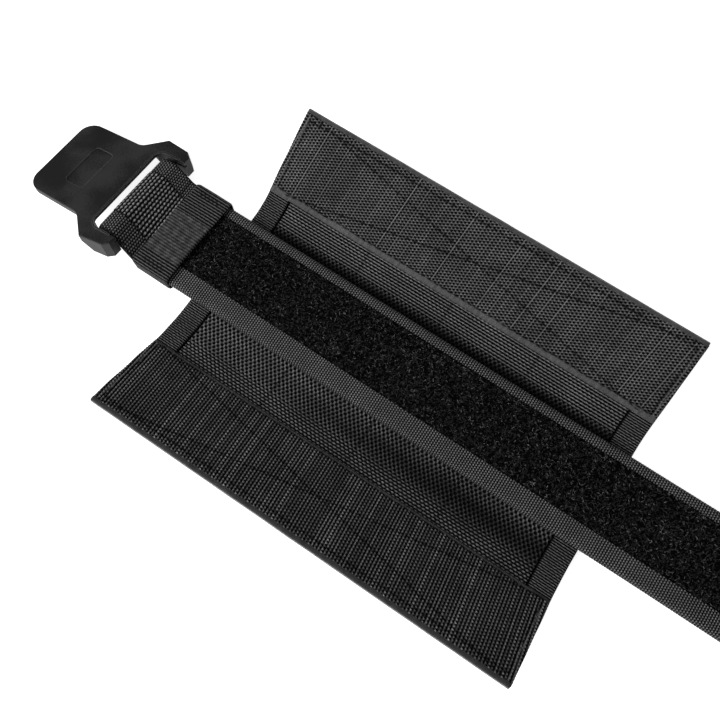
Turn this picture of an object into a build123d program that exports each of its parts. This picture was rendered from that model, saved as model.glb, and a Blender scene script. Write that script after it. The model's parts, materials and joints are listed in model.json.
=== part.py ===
"""A compression strap with a T-shaped pull tab, a keeper and a sliding wrap with two hook flaps.

+X runs along the strap away from the pull tab, +Y to the wrap's far side and +Z up. The origin is
the centre of the wrap's field of webbing rows, in the plane of their undersides, which the object
rests on. Soft layers are plain closed solids that touch face to face inside one body, and stand
clear of every other body. All sizes are in millimetres and angles in degrees.
"""

from build123d import *

import os
from math import asin, cos, degrees, hypot, radians, sin

# Clearances
running_gap = 0.3  # between cloth bodies that slide or fold past each other
closed_gap = 0.4  # between a closed flap and what it lies on
end_gap = 0.3  # between the two cloth bodies that meet at a fold

# Strap
strap_width = 39.2
strap_thickness = 4.5
strap_side_shift = 2.75  # the strap's centre line, towards the wrap's far side
binding_thickness = 0.6
near_binding_width = 8.0
far_binding_width = 4.5
pile_height = 0.3  # the loop pile stands this far above the bindings
tail_bend_distance = 38.25  # from the wrap's end to where the tail starts to bend down
tail_length = 85.0
tail_count = 3
bend_relief = 1.8  # the outer layers stop this far from each bend's axis
hook_patch_length = 60.0
end_binding_length = 12.0

# Wrap
wrap_length = 171.5
tack_pitch = 38.1
tack_count = 5
row_width = 25.4
row_thickness = 1.2
ply_thickness = 0.6
stiffener_thickness = 0.6
lining_thickness = 0.5
stiffener_margin = 4.0  # the stiffeners stop this far inside their cloth
hook_fold_margin = 1.9  # from the near flap's fold to its hook tape
hook_width = 34.0
hook_thickness = 1.6
hook_end_margin = 2.0
flap_edge_width = 1.2
stitch_height = 0.3
stitch_width = 1.2
far_fold_margin = 4.45  # from the strap's edge to the fold beside it
near_fold_margin = 7.35
far_fold_angle = 15.9  # of each of the far flap's two folds, at rest
near_fold_angle = 12.2

# Keeper and the webbing that loops round the pull tab's bar
keeper_length = 16.5
keeper_distance = 9.25  # from the keeper to the wrap
keeper_side_thickness = 0.6
keeper_top_thickness = 0.9
keeper_patch_length = 14.5
keeper_patch_width = 19.5
keeper_patch_shift = 3.2  # from the keeper's middle towards the near side
keeper_patch_thickness = 0.4
webbing_thickness = 1.2
webbing_end_margin = 2.0  # the webbing ends this far inside the keeper
webbing_square_margin = 0.6  # and lies square to the strap from this far before the keeper
strap_keeper_margin = 3.0  # the strap starts this far inside the keeper
eye_tail = 4.5  # from the bar's axis to where the two plies meet
eye_side_shift = 0.6  # the loop lies this far off the bar's middle, towards the near ear

# Pull tab, in its own plane: u along the tab, v across it, w up from its top face
plate_distance = 20.75  # from the keeper back to the tab's origin
plate_side_shift = 2.65  # from the strap's centre line
plate_rise = 6.05  # from the middle of the strap's thickness
plate_yaw = 1.5
plate_pitch = -9.4
plate_roll = -8.1
plate_thickness = 2.6
tab_end_u = -36.5
tab_inset = 1.95  # the tab's half width is this much less than the slot's
tab_corner_radius = 6.5
neck_u = -8.5
neck_inset = 1.25
neck_radius = 5.0
ear_start_u = -0.2
ear_width = 6.6
ear_shoulder_width = 5.5
ear_shoulder_reach = 4.6  # along u from the bar's axis
ear_tip_width = 3.5
ear_tip_reach = 7.0
ear_drop = 5.0  # the ears reach this far below the bar's axis
ear_ramp = 4.0
slot_side_gap = 1.3  # from the webbing to the slot's wall, if it lay in the middle
slot_end_gap = 2.1  # from the webbing to the slot's closed end
slot_corner_radius = 3.6
slot_wall_depth = 1.1  # the slot's closed end is bevelled away under this
slot_bevel_length = 2.0
slot_bevel_half_width = 19.0
lip_width = 0.8
lip_height = 0.35
bar_cover = 0.8  # from the plate's top face down to the bar
bar_radius = 2.2
groove_depth = 0.8
groove_height = 1.4
groove_drop = 1.6
recess_start_u = -24.0
recess_length = 9.2
recess_half_width = 9.8
recess_corner_radius = 1.6
recess_depth = 0.35
plate_edge_radius = 0.4

# Heights that follow from the layers
shell_thickness = ply_thickness + stiffener_thickness + lining_thickness
wrap_top = row_thickness + shell_thickness
strap_bottom = wrap_top + running_gap
strap_top = strap_bottom + strap_thickness
strap_middle = strap_bottom + strap_thickness / 2
strap_half = strap_width / 2
core_thickness = strap_thickness - 2 * binding_thickness

# Widths of the two walls that let a flap lie flat on the closed strap, and the second on the first
far_wall_width = strap_top + pile_height + closed_gap + hook_thickness - wrap_top
near_wall_width = far_wall_width + shell_thickness + row_thickness + closed_gap + hook_thickness

# Places across the wrap, measured along the cloth from its centre line
far_fold_y = strap_half + strap_side_shift + far_fold_margin
near_fold_y = strap_half - strap_side_shift + near_fold_margin
hook_start = near_fold_y + near_wall_width + hook_fold_margin
row_outer = hook_start
row_inner = row_outer - row_width

# Places along the strap
half_length = wrap_length / 2
keeper_start = -half_length - keeper_distance - keeper_length
strap_front_start = keeper_start + strap_keeper_margin
webbing_square_x = keeper_start - webbing_square_margin
webbing_end = keeper_start + keeper_length - webbing_end_margin
tail_bend_x = half_length + tail_bend_distance

# Places in the pull tab's plane
plate_x = keeper_start - plate_distance
plate_origin = (plate_x, strap_side_shift + plate_side_shift, strap_middle + plate_rise)
slot_half_width = strap_half + slot_side_gap
tab_half_width = slot_half_width - tab_inset
neck_half_width = slot_half_width - neck_inset
ear_half_width = slot_half_width + ear_width
ear_shoulder_half_width = slot_half_width + ear_shoulder_width
ear_tip_half_width = slot_half_width + ear_tip_width
eye_inner = bar_radius + running_gap
eye_outer = eye_inner + webbing_thickness
bar_u = eye_outer + slot_end_gap
bar_drop = bar_radius + bar_cover
ear_shoulder_u = bar_u + ear_shoulder_reach
ear_tip_u = bar_u + ear_tip_reach
ear_depth = bar_drop + ear_drop

os.makedirs("parts", exist_ok=True)


def save(piece, name):
    """Label a finished piece and write it as the STEP file of its node."""
    piece.part.label = name
    export_step(piece.part, f"parts/{name}.step")


def layer(plane, along, across, heights):
    """A flat layer between two places along x, two across y and two heights of a plane."""
    with BuildPart() as cloth:
        with BuildSketch(plane.offset(heights[0])):
            with Locations(((along[0] + along[1]) / 2, (across[0] + across[1]) / 2)):
                Rectangle(along[1] - along[0], across[1] - across[0])
        extrude(amount=heights[1] - heights[0])
    return cloth


def strap_core(plane, start, end, rounded_end):
    """The strap's inner webbing, with a round nose about the next bend's axis."""
    side = Plane(origin=plane.origin, x_dir=plane.x_dir, z_dir=-plane.y_dir)
    with BuildPart() as core:
        with BuildSketch(side):
            with Locations(((start + end) / 2, strap_thickness / 2)):
                Rectangle(end - start, core_thickness)
            if rounded_end:
                with Locations((end, strap_thickness / 2)):
                    Circle(core_thickness / 2)
        extrude(amount=strap_half - binding_thickness, both=True)
    return core


def binding(plane, start, end, sides):
    """Folded tape over the strap's edges: sides are (sign, lip width) pairs."""
    cross = Plane(origin=plane.origin + plane.x_dir * start, x_dir=plane.y_dir, z_dir=plane.x_dir)
    with BuildPart() as tape:
        with BuildSketch(cross):
            for sign, lip in sides:
                with Locations((sign * (strap_half - lip / 2), strap_thickness / 2)):
                    Rectangle(lip, strap_thickness)
                hollow = lip - binding_thickness
                inner_middle = strap_half - binding_thickness - hollow / 2
                with Locations((sign * inner_middle, strap_thickness / 2)):
                    Rectangle(hollow, core_thickness, mode=Mode.SUBTRACT)
        extrude(amount=end - start)
    return tape


binding_sides = [(-1, near_binding_width), (1, far_binding_width)]
loop_across = (near_binding_width - strap_half, strap_half - far_binding_width)
loop_heights = (strap_thickness - binding_thickness, strap_thickness + pile_height)
backing_heights = (0, binding_thickness)

# --- strap, front length -----------------------------------------------------------------------
front_plane = Plane(origin=(0, strap_side_shift, strap_bottom))
front_end = tail_bend_x - bend_relief

save(strap_core(front_plane, strap_front_start, tail_bend_x, True), "strap_front_core")
loop_tape = layer(front_plane, (webbing_end, front_end), loop_across, loop_heights)
save(loop_tape, "strap_front_loop_tape")
backing = layer(front_plane, (strap_front_start, front_end), loop_across, backing_heights)
save(backing, "strap_front_backing")
for side_name, side_shape in zip(("near", "far"), binding_sides):
    tape = binding(front_plane, strap_front_start, front_end, [side_shape])
    save(tape, f"strap_front_{side_name}_binding")

# --- strap, tail lengths: the first slopes down to the floor, the others lie on it --------------
slope = degrees(asin(strap_bottom / tail_length))
bend_x, bend_z = tail_bend_x, strap_middle
for number in range(1, tail_count + 1):
    dip = slope if number == 1 else 0
    along_x = Vector(1, 0, 0).rotate(Axis.Y, dip)
    upward = Vector(0, 0, 1).rotate(Axis.Y, dip)
    corner = Vector(bend_x, strap_side_shift, bend_z) - upward * (strap_thickness / 2)
    tail_plane = Plane(origin=corner, x_dir=along_x, z_dir=upward)
    last = number == tail_count
    core_start = core_thickness / 2 + end_gap
    layer_end = tail_length - (end_binding_length if last else bend_relief)
    core_end = layer_end if last else tail_length
    backing_end = layer_end - hook_patch_length if last else layer_end
    save(strap_core(tail_plane, core_start, core_end, not last), f"tail_{number}_core")
    loop_tape = layer(tail_plane, (bend_relief, layer_end), loop_across, loop_heights)
    save(loop_tape, f"tail_{number}_loop_tape")
    backing = layer(tail_plane, (bend_relief, backing_end), loop_across, backing_heights)
    save(backing, f"tail_{number}_backing")
    save(binding(tail_plane, bend_relief, layer_end, binding_sides), f"tail_{number}_bindings")
    if last:
        patch = layer(tail_plane, (backing_end, layer_end), loop_across, backing_heights)
        save(patch, "tail_hook_patch")
        whole_width = (-strap_half, strap_half)
        cap = layer(tail_plane, (layer_end, tail_length), whole_width, (0, strap_thickness))
        save(cap, "tail_end_binding")
    bend_x += tail_length * cos(radians(dip))
    bend_z -= tail_length * sin(radians(dip))

# --- wrap, centre panel --------------------------------------------------------------------------
wrap_along = (-half_length, half_length)
shell_plane = Plane.XY.offset(wrap_top)
lining_heights = (-lining_thickness, 0)
stiffener_heights = (-lining_thickness - stiffener_thickness, -lining_thickness)
ply_heights = (-shell_thickness, -lining_thickness - stiffener_thickness)
row_heights = (-shell_thickness - row_thickness, -shell_thickness)
centre_across = (end_gap / 2 - near_fold_y, far_fold_y - end_gap / 2)
stiff_along = (stiffener_margin - half_length, half_length - stiffener_margin)
stiff_across = (centre_across[0] + stiffener_margin, centre_across[1] - stiffener_margin)

save(layer(shell_plane, wrap_along, centre_across, lining_heights), "wrap_centre_lining")
save(layer(shell_plane, stiff_along, stiff_across, stiffener_heights), "wrap_centre_stiffener")
with BuildPart() as centre_ply:
    with BuildSketch(shell_plane.offset(ply_heights[0])):
        with Locations((0, sum(centre_across) / 2)):
            Rectangle(wrap_length, centre_across[1] - centre_across[0])
    extrude(amount=ply_thickness)
    with BuildSketch(shell_plane.offset(stiffener_heights[0])):
        with Locations((0, sum(centre_across) / 2)):
            Rectangle(wrap_length, centre_across[1] - centre_across[0])
        with Locations((0, sum(stiff_across) / 2)):
            Rectangle(stiff_along[1] - stiff_along[0], stiff_across[1] - stiff_across[0], mode=Mode.SUBTRACT)
    extrude(amount=stiffener_thickness)
save(centre_ply, "wrap_centre_ply")

row_spans = [(centre_across[0], -row_inner), (row_inner, centre_across[1])]
with BuildPart() as centre_rows:
    with BuildSketch(shell_plane.offset(row_heights[0])):
        for low, high in row_spans:
            with Locations((0, (low + high) / 2)):
                Rectangle(wrap_length, high - low)
    extrude(amount=row_thickness)

tack_places = [tack_pitch * (count - (tack_count - 1) / 2) for count in range(tack_count)]
with BuildPart() as centre_tacks:
    with BuildSketch(Plane.XY):
        for low, high in row_spans:
            for tack_x in tack_places:
                with Locations((tack_x, (low + high) / 2)):
                    Rectangle(stitch_width, high - low - 2 * stitch_width)
    extrude(amount=stitch_height)
with BuildPart() as grooved_rows:
    add(centre_rows.part)
    add(centre_tacks.part, mode=Mode.SUBTRACT)
save(grooved_rows, "wrap_centre_webbing_rows")
save(centre_tacks, "wrap_centre_row_tacks")


# --- wrap, the wall and the flap on each side ----------------------------------------------------
def panel_plane(side, fold_y, fold_z, angle):
    """The plane of a panel's inner surface: x along the fold, y away from it, z to the inside."""
    inward = Vector(0, -side * sin(radians(angle)), cos(radians(angle)))
    return Plane(origin=(0, side * fold_y, fold_z), x_dir=(side, 0, 0), z_dir=inward)


flap_sides = [
    ("far", 1, far_fold_y, far_fold_angle, far_wall_width),
    ("near", -1, near_fold_y, near_fold_angle, near_wall_width),
]
for side_name, side, fold_y, fold_angle, wall_width in flap_sides:
    wall_plane = panel_plane(side, fold_y, wrap_top, fold_angle)
    wall_across = (end_gap / 2, wall_width - end_gap / 2)
    save(layer(wall_plane, wrap_along, wall_across, lining_heights), f"{side_name}_wall_lining")
    outer_heights = (ply_heights[0], stiffener_heights[1])
    save(layer(wall_plane, wrap_along, wall_across, outer_heights), f"{side_name}_wall_ply")
    save(layer(wall_plane, wrap_along, wall_across, row_heights), f"{side_name}_wall_webbing_row")

    second_fold = wall_plane.from_local_coords(Vector(0, wall_width, 0))
    flap_plane = panel_plane(side, abs(second_fold.Y), second_fold.Z, 2 * fold_angle)
    flap_start = end_gap / 2
    hook_low = hook_start - fold_y - wall_width
    hook_high = hook_low + hook_width
    flap_across = (flap_start, hook_high)
    row_across = (flap_start, row_outer - fold_y - wall_width)
    flap_stiff_across = (hook_low + stiffener_margin, hook_high - stiffener_margin)
    hook_along = (hook_end_margin - half_length, half_length - hook_end_margin)
    save(layer(flap_plane, wrap_along, flap_across, lining_heights), f"{side_name}_flap_lining")
    stiffener = layer(flap_plane, stiff_along, flap_stiff_across, stiffener_heights)
    save(stiffener, f"{side_name}_flap_stiffener")
    with BuildPart() as flap_ply:
        with BuildSketch(flap_plane.offset(ply_heights[0])):
            with Locations((0, sum(flap_across) / 2)):
                Rectangle(wrap_length, flap_across[1] - flap_across[0])
        extrude(amount=ply_thickness)
        with BuildSketch(flap_plane.offset(stiffener_heights[0])):
            with Locations((0, sum(flap_across) / 2)):
                Rectangle(wrap_length, flap_across[1] - flap_across[0])
            with Locations((0, sum(flap_stiff_across) / 2)):
                stiff_width = flap_stiff_across[1] - flap_stiff_across[0]
                Rectangle(stiff_along[1] - stiff_along[0], stiff_width, mode=Mode.SUBTRACT)
        extrude(amount=stiffener_thickness)
    save(flap_ply, f"{side_name}_flap_ply")
    save(layer(flap_plane, wrap_along, row_across, row_heights), f"{side_name}_flap_webbing_row")
    hook_tape = layer(flap_plane, hook_along, (hook_low, hook_high), (0, hook_thickness))
    save(hook_tape, f"{side_name}_flap_hook_tape")
    edge_across = (hook_high, hook_high + flap_edge_width)
    edge = layer(flap_plane, wrap_along, edge_across, (-shell_thickness, hook_thickness))
    save(edge, f"{side_name}_flap_edge")

# --- keeper ------------------------------------------------------------------------------------------
keeper_inner_half = strap_half + running_gap
keeper_inner_low = strap_bottom - webbing_thickness - running_gap
keeper_inner_high = strap_top + webbing_thickness + running_gap
keeper_middle = (keeper_inner_low + keeper_inner_high) / 2
keeper_inner_height = keeper_inner_high - keeper_inner_low
keeper_origin = (keeper_start, strap_side_shift, keeper_middle)
with BuildPart() as keeper_band:
    with BuildSketch(Plane(origin=keeper_origin, x_dir=(0, 1, 0), z_dir=(1, 0, 0))):
        outer_width = 2 * (keeper_inner_half + keeper_side_thickness)
        outer_height = keeper_inner_height + 2 * keeper_top_thickness
        RectangleRounded(outer_width, outer_height, keeper_top_thickness)
        Rectangle(2 * keeper_inner_half, keeper_inner_height, mode=Mode.SUBTRACT)
    extrude(amount=keeper_length)
save(keeper_band, "keeper_band")

keeper_top = keeper_inner_high + keeper_top_thickness
keeper_top_plane = Plane(origin=(keeper_start, strap_side_shift, keeper_top))
patch_start = (keeper_length - keeper_patch_length) / 2
patch_along = (patch_start, patch_start + keeper_patch_length)
patch_across = (-keeper_patch_shift - keeper_patch_width / 2, -keeper_patch_shift + keeper_patch_width / 2)
patch = layer(keeper_top_plane, patch_along, patch_across, (0, keeper_patch_thickness))
save(patch, "keeper_join_patch")


# --- pull tab ----------------------------------------------------------------------------------------
def tilted(direction):
    """A direction of the pull tab's own frame, turned to how the tab lies."""
    return direction.rotate(Axis.X, plate_roll).rotate(Axis.Y, plate_pitch).rotate(Axis.Z, plate_yaw)


along_u = tilted(Vector(1, 0, 0))
across_v = tilted(Vector(0, 1, 0))
up_w = tilted(Vector(0, 0, 1))
plate_plane = Plane(origin=plate_origin, x_dir=along_u, z_dir=up_w)
bar_middle = plate_plane.from_local_coords(Vector(bar_u, 0, -bar_drop))
bar_side_plane = Plane(origin=bar_middle, x_dir=along_u, z_dir=-across_v)

half_outline = [
    (tab_end_u, tab_half_width),
    (neck_u, neck_half_width),
    (ear_start_u, ear_half_width),
    (ear_shoulder_u, ear_shoulder_half_width),
    (ear_tip_u, ear_tip_half_width),
    (ear_tip_u, 0),
]
plate_outline = half_outline + [(u, -v) for u, v in reversed(half_outline[:-1])]
slot_length = ear_tip_u + slot_corner_radius

with BuildPart() as pull_tab:
    with BuildSketch(plate_plane.offset(-ear_depth)):
        with BuildLine():
            Polyline(plate_outline, close=True)
        make_face()
    extrude(amount=ear_depth)
    long_edges = edges().filter_by(lambda edge: abs(edge.tangent_at(0).dot(up_w)) > 0.99)
    by_u = long_edges.sort_by(lambda edge: (edge.center() - plate_plane.origin).dot(along_u))
    fillet(by_u[:2], tab_corner_radius)
    fillet(by_u[2:4], neck_radius)
    with BuildSketch(Plane(origin=plate_origin, x_dir=along_u, z_dir=-across_v)):
        with BuildLine():
            Polyline(
                (tab_end_u - 1, -plate_thickness),
                (ear_start_u - 1, -plate_thickness),
                (ear_start_u + ear_ramp, -ear_depth),
                (tab_end_u - 1, -ear_depth),
                close=True,
            )
        make_face()
    extrude(amount=ear_half_width + 1, both=True, mode=Mode.SUBTRACT)
    with BuildSketch(plate_plane):
        with Locations((slot_length / 2, 0)):
            RectangleRounded(slot_length, 2 * slot_half_width, slot_corner_radius)
    extrude(amount=-ear_depth, mode=Mode.SUBTRACT)
    with BuildSketch(Plane(origin=plate_origin, x_dir=along_u, z_dir=-across_v)):
        with BuildLine():
            Polyline(
                (slot_corner_radius / 2, -slot_wall_depth),
                (0, -slot_wall_depth),
                (-slot_bevel_length, -plate_thickness),
                (-slot_bevel_length, -ear_depth),
                (slot_corner_radius / 2, -ear_depth),
                close=True,
            )
        make_face()
    extrude(amount=slot_bevel_half_width, both=True, mode=Mode.SUBTRACT)
    with BuildSketch(plate_plane.offset(-groove_drop)):
        with Locations((ear_tip_u / 2 + slot_corner_radius, 0)):
            Rectangle(ear_tip_u, 2 * (slot_half_width + groove_depth))
    extrude(amount=-groove_height, mode=Mode.SUBTRACT)
    with BuildSketch(plate_plane):
        with Locations((recess_start_u + recess_length / 2, 0)):
            RectangleRounded(recess_length, 2 * recess_half_width, recess_corner_radius)
    extrude(amount=-recess_depth, mode=Mode.SUBTRACT)
    top_face = faces().sort_by(lambda face: (face.center() - plate_plane.origin).dot(up_w))[-1]
    fillet(top_face.outer_wire().edges(), plate_edge_radius)
    with BuildSketch(plate_plane):
        with Locations((slot_length / 2, 0)):
            lip_length = slot_length + 2 * lip_width
            RectangleRounded(lip_length, 2 * (slot_half_width + lip_width), slot_corner_radius + lip_width)
            RectangleRounded(slot_length, 2 * slot_half_width, slot_corner_radius, mode=Mode.SUBTRACT)
        with Locations((ear_shoulder_u + slot_length, 0)):
            Rectangle(2 * slot_length, 4 * ear_half_width, mode=Mode.SUBTRACT)
    extrude(amount=lip_height)
    with BuildSketch(bar_side_plane):
        Circle(bar_radius)
    extrude(amount=slot_half_width + groove_depth, both=True)
save(pull_tab, "pull_tab")

# --- webbing that loops round the bar ----------------------------------------------------------------
ear_side = slot_half_width - running_gap  # the webbing stays inside this between the ears
ear_sweep = hypot(ear_tip_reach, ear_drop) + running_gap  # the ears' tips turn about the bar inside this
eye_plane = bar_side_plane.offset(eye_side_shift)
eye_end = Plane(origin=eye_plane.origin + along_u * eye_tail, x_dir=across_v, z_dir=along_u)
square_origin = (webbing_square_x, strap_side_shift, strap_middle)
square_end = Plane(origin=square_origin, x_dir=(0, 1, 0), z_dir=(1, 0, 0))
stack_height = strap_thickness + 2 * webbing_thickness
with BuildPart() as loop_webbing:
    with BuildSketch(eye_plane):
        Circle(eye_outer)
        with Locations((eye_tail / 2, 0)):
            Rectangle(eye_tail, 2 * eye_outer)
        Circle(eye_inner, mode=Mode.SUBTRACT)
    extrude(amount=strap_half, both=True)
    with BuildSketch(eye_end):
        Rectangle(strap_width, 2 * eye_outer)
    with BuildSketch(square_end):
        Rectangle(strap_width, stack_height)
    loft(ruled=True)
    with BuildSketch(square_end):
        Rectangle(strap_width, stack_height)
    extrude(amount=strap_front_start - webbing_square_x)
    with BuildSketch(square_end.offset(strap_front_start - webbing_square_x)):
        Rectangle(strap_width, stack_height)
        Rectangle(strap_width, strap_thickness, mode=Mode.SUBTRACT)
    extrude(amount=webbing_end - strap_front_start)
    for side in (-1, 1):
        with BuildSketch(bar_side_plane.offset(side * ear_side)):
            Circle(ear_sweep)
        extrude(amount=side * strap_half, mode=Mode.SUBTRACT)
save(loop_webbing, "buckle_loop_webbing")
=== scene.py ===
"""The looks of a compression strap with a pull tab, a keeper and a wrap with two hook flaps.

Everything is in metres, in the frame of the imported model: +X along the strap away from the pull tab,
+Y to the wrap's far side and +Z up. Each fabric piece is built flat, from a place along it, a place
across it and a height, and is then laid along the same line as the solids that it stands for.
"""

import json
import math
from functools import cache
from typing import NamedTuple

import bmesh
import bpy
import numpy as np
from bpy.props import FloatProperty, FloatVectorProperty, IntProperty, PointerProperty
from mathutils import Matrix, Vector


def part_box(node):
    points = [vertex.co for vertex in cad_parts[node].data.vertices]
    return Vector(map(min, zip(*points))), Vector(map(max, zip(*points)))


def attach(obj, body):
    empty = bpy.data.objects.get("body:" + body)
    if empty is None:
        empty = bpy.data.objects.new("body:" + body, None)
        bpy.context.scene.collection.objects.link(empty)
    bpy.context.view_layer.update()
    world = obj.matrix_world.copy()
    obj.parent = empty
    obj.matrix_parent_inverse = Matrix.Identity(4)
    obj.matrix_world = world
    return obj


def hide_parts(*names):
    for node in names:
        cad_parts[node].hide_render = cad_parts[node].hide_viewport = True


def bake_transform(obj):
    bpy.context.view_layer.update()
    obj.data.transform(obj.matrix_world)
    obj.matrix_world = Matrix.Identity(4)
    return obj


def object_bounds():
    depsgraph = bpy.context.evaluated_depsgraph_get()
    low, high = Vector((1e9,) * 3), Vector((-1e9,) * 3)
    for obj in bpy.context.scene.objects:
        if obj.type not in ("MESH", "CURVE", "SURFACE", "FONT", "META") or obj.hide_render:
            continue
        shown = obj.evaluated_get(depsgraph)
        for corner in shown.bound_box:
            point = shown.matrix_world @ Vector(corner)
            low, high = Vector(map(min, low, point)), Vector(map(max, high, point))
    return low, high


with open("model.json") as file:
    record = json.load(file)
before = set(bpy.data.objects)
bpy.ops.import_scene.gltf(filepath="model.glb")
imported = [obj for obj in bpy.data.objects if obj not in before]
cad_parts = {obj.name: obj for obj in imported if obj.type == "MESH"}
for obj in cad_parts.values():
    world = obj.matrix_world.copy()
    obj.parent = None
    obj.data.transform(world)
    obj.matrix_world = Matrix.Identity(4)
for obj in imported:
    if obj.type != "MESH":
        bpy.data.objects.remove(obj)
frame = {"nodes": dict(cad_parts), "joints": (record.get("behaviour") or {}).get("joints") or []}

bl_info = {
    "name": "Compression Strap",
    "version": (1, 0, 0),
    "blender": (4, 5, 0),
    "location": "3D View > Sidebar > Strap",
    "description": "Builds the fabric, the stitching and the finishes of a compression strap",
    "category": "Object",
}

MM = 0.001
CAD_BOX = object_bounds()
SIDES = {"far": 1, "near": -1}
FOLD_SHARES = {"far": 0.93, "near": 0.84}  # how much of a wall the bend of each of its folds takes
SHARP_EDGE = math.radians(55)


# --- places, read from the frame -----------------------------------------------------------------
def joint_at(name):
    """Where a hinge's axis passes, in the row frame."""
    return Vector(next(joint["pos_m"] for joint in frame["joints"] if joint["name"] == name))


def reach(node, origin, direction):
    """How far a node reaches from a point along a direction: its least and its greatest distance."""
    corners = [(vertex.co - origin).dot(direction) for vertex in frame["nodes"][node].data.vertices]
    return min(corners), max(corners)


WRAP_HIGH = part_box("wrap_centre_lining")[1]
WRAP_HALF = WRAP_HIGH.x
STRAP_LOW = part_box("strap_front_near_binding")[0]
STRAP_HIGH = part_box("strap_front_far_binding")[1]
STRAP_Y = (STRAP_LOW.y + STRAP_HIGH.y) / 2
STRAP_HALF = (STRAP_HIGH.y - STRAP_LOW.y) / 2
STRAP_THICK = STRAP_HIGH.z - STRAP_LOW.z
PILE_LOW, PILE_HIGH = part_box("strap_front_loop_tape")
KEEPER_LOW, KEEPER_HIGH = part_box("keeper_band")
LOOP_LOW, LOOP_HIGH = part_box("buckle_loop_webbing")
ROW_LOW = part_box("wrap_centre_webbing_rows")[0]


# --- lines that the fabric is laid along ---------------------------------------------------------
def ease(share):
    """A smooth step from 0 to 1 with a level start and end."""
    share = np.clip(share, 0.0, 1.0)
    return share * share * (3 - 2 * share)


def mix(low, high, share):
    """From low at a share of 0 to high at a share of 1."""
    return low * (1 - share) + high * share


class BentLine:
    """A line in a vertical plane that starts level and turns at its bends, each spread over a length."""

    step = 0.1 * MM

    def __init__(self, start, length, bends):
        count = int(length / self.step) + 2
        self.along = start[0] + self.step * np.arange(count)
        heading = np.zeros(count)
        for middle, spread, angle in bends:
            heading += angle * ease((self.along - middle) / spread + 0.5)
        turn = (heading[1:] + heading[:-1]) / 2
        self.heading = heading
        self.out = start[0] + np.concatenate([[0], np.cumsum(np.cos(turn)) * self.step])
        self.up = start[1] + np.concatenate([[0], np.cumsum(np.sin(turn)) * self.step])

    def at(self, along, height):
        """The horizontal and vertical places of points at a height above the line."""
        heading = np.interp(along, self.along, self.heading)
        out = np.interp(along, self.along, self.out) - height * np.sin(heading)
        up = np.interp(along, self.along, self.up) + height * np.cos(heading)
        return out, up


class FlapSide:
    """One side of the wrap: its two folds, its hook tape and the line that its cloth follows."""

    def __init__(self, name):
        self.name, self.sign = name, SIDES[name]
        self.seed = int(name == "near")
        self.strap_edge = abs(STRAP_HIGH.y if self.sign > 0 else STRAP_LOW.y)
        first, second = joint_at(f"{name}_wall_fold"), joint_at(f"{name}_flap_fold")
        run = second - first
        self.fold_angle = math.atan2(run.z, self.sign * run.y)
        self.first = self.sign * first.y
        self.second = self.first + run.length
        self.wall_middle = self.first + run.length / 2
        self.spread = FOLD_SHARES[name] * run.length
        slope = 2 * self.fold_angle
        down_flap = Vector((0, self.sign * math.cos(slope), math.sin(slope)))
        low, high = reach(f"{name}_flap_hook_tape", second, down_flap)
        self.hook_start, self.hook_end = self.second + low, self.second + high
        self.outer = self.second + reach(f"{name}_flap_edge", second, down_flap)[1]
        self.row_end = self.second + reach(f"{name}_flap_webbing_row", second, down_flap)[1]
        self.seam = self.sign * STRAP_Y
        bends = [(self.first, self.spread, self.fold_angle), (self.second, self.spread, self.fold_angle)]
        start = min(self.seam, 0.0) - MM
        self.line = BentLine((start, WRAP_HIGH.z), self.outer - start + 2 * MM, bends)

    def lay(self, along, across, height):
        """Along is x, across is the distance along the cloth from the wrap's centre line."""
        out, up = self.line.at(across, height)
        return np.stack([along + 0 * out, self.sign * out, up], axis=-1)

    def point(self, across):
        """The point of the cloth's inner surface at a place across it, half way along the wrap."""
        out, up = self.line.at(np.array(across), 0.0)
        return (0.0, float(self.sign * out), float(up))

    def blend(self, piece, number):
        """Bake a piece's transform into its mesh; the ends of the side's first or second fold are found, but
        the piece isn't bent.
        """
        middle = self.first if number == 1 else self.second
        start, end = self.point(middle - self.spread / 2), self.point(middle + self.spread / 2)
        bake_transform(piece)


class Strap:
    """The strap's own line, from its front end to the end of its tail."""

    spread = 20 * MM

    def __init__(self):
        places = [joint_at(f"tail_bend_{number}") for number in (1, 2, 3)]
        first, second = places[0], places[1]
        run = second - first
        dip = math.atan2(-run.z, run.x)
        self.bends = [first.x, first.x + run.length, first.x + run.length + (places[2] - second).length]
        self.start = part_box("strap_front_core")[0].x
        tail_low, tail_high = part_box("tail_end_binding")
        self.end_binding = self.bends[2] + tail_low.x - places[2].x
        self.end = self.bends[2] + tail_high.x - places[2].x
        self.patch = self.bends[2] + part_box("tail_hook_patch")[0].x - places[2].x
        self.cuts = [self.start, sum(self.bends[:2]) / 2, sum(self.bends[1:]) / 2, self.end_binding]
        bends = [(self.bends[0], self.spread, -dip), (self.bends[1], self.spread, dip)]
        self.line = BentLine((self.start - 5 * MM, first.z), self.end - self.start + 10 * MM, bends)

    def lay(self, along, across, height):
        """Along runs down the strap, across is from its centre line, height from its middle."""
        out, up = self.line.at(along, height)
        return np.stack([out + 0 * across, STRAP_Y + across + 0 * out, up + 0 * across], axis=-1)

    def blend(self, piece, number):
        """Bake a piece's transform into its mesh; the ends of one of the tail's bends are found, but the
        piece isn't bent.
        """
        for turn in (-0.5, 0.5):
            out, up = self.line.at(np.array(self.bends[number - 1] + turn * self.spread), 0.0)
        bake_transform(piece)


STRAP = Strap()
FLAPS = {name: FlapSide(name) for name in SIDES}


# --- meshes -----------------------------------------------------------------------------------------
def spaced(start, end, step):
    """Evenly spaced places from start to end, about a step apart."""
    return np.linspace(start, end, max(2, int(round((end - start) / step)) + 1))


def grid(along, across):
    """Two arrays that pair every place along with every place across."""
    return np.meshgrid(along, across, indexing="ij")


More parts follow.
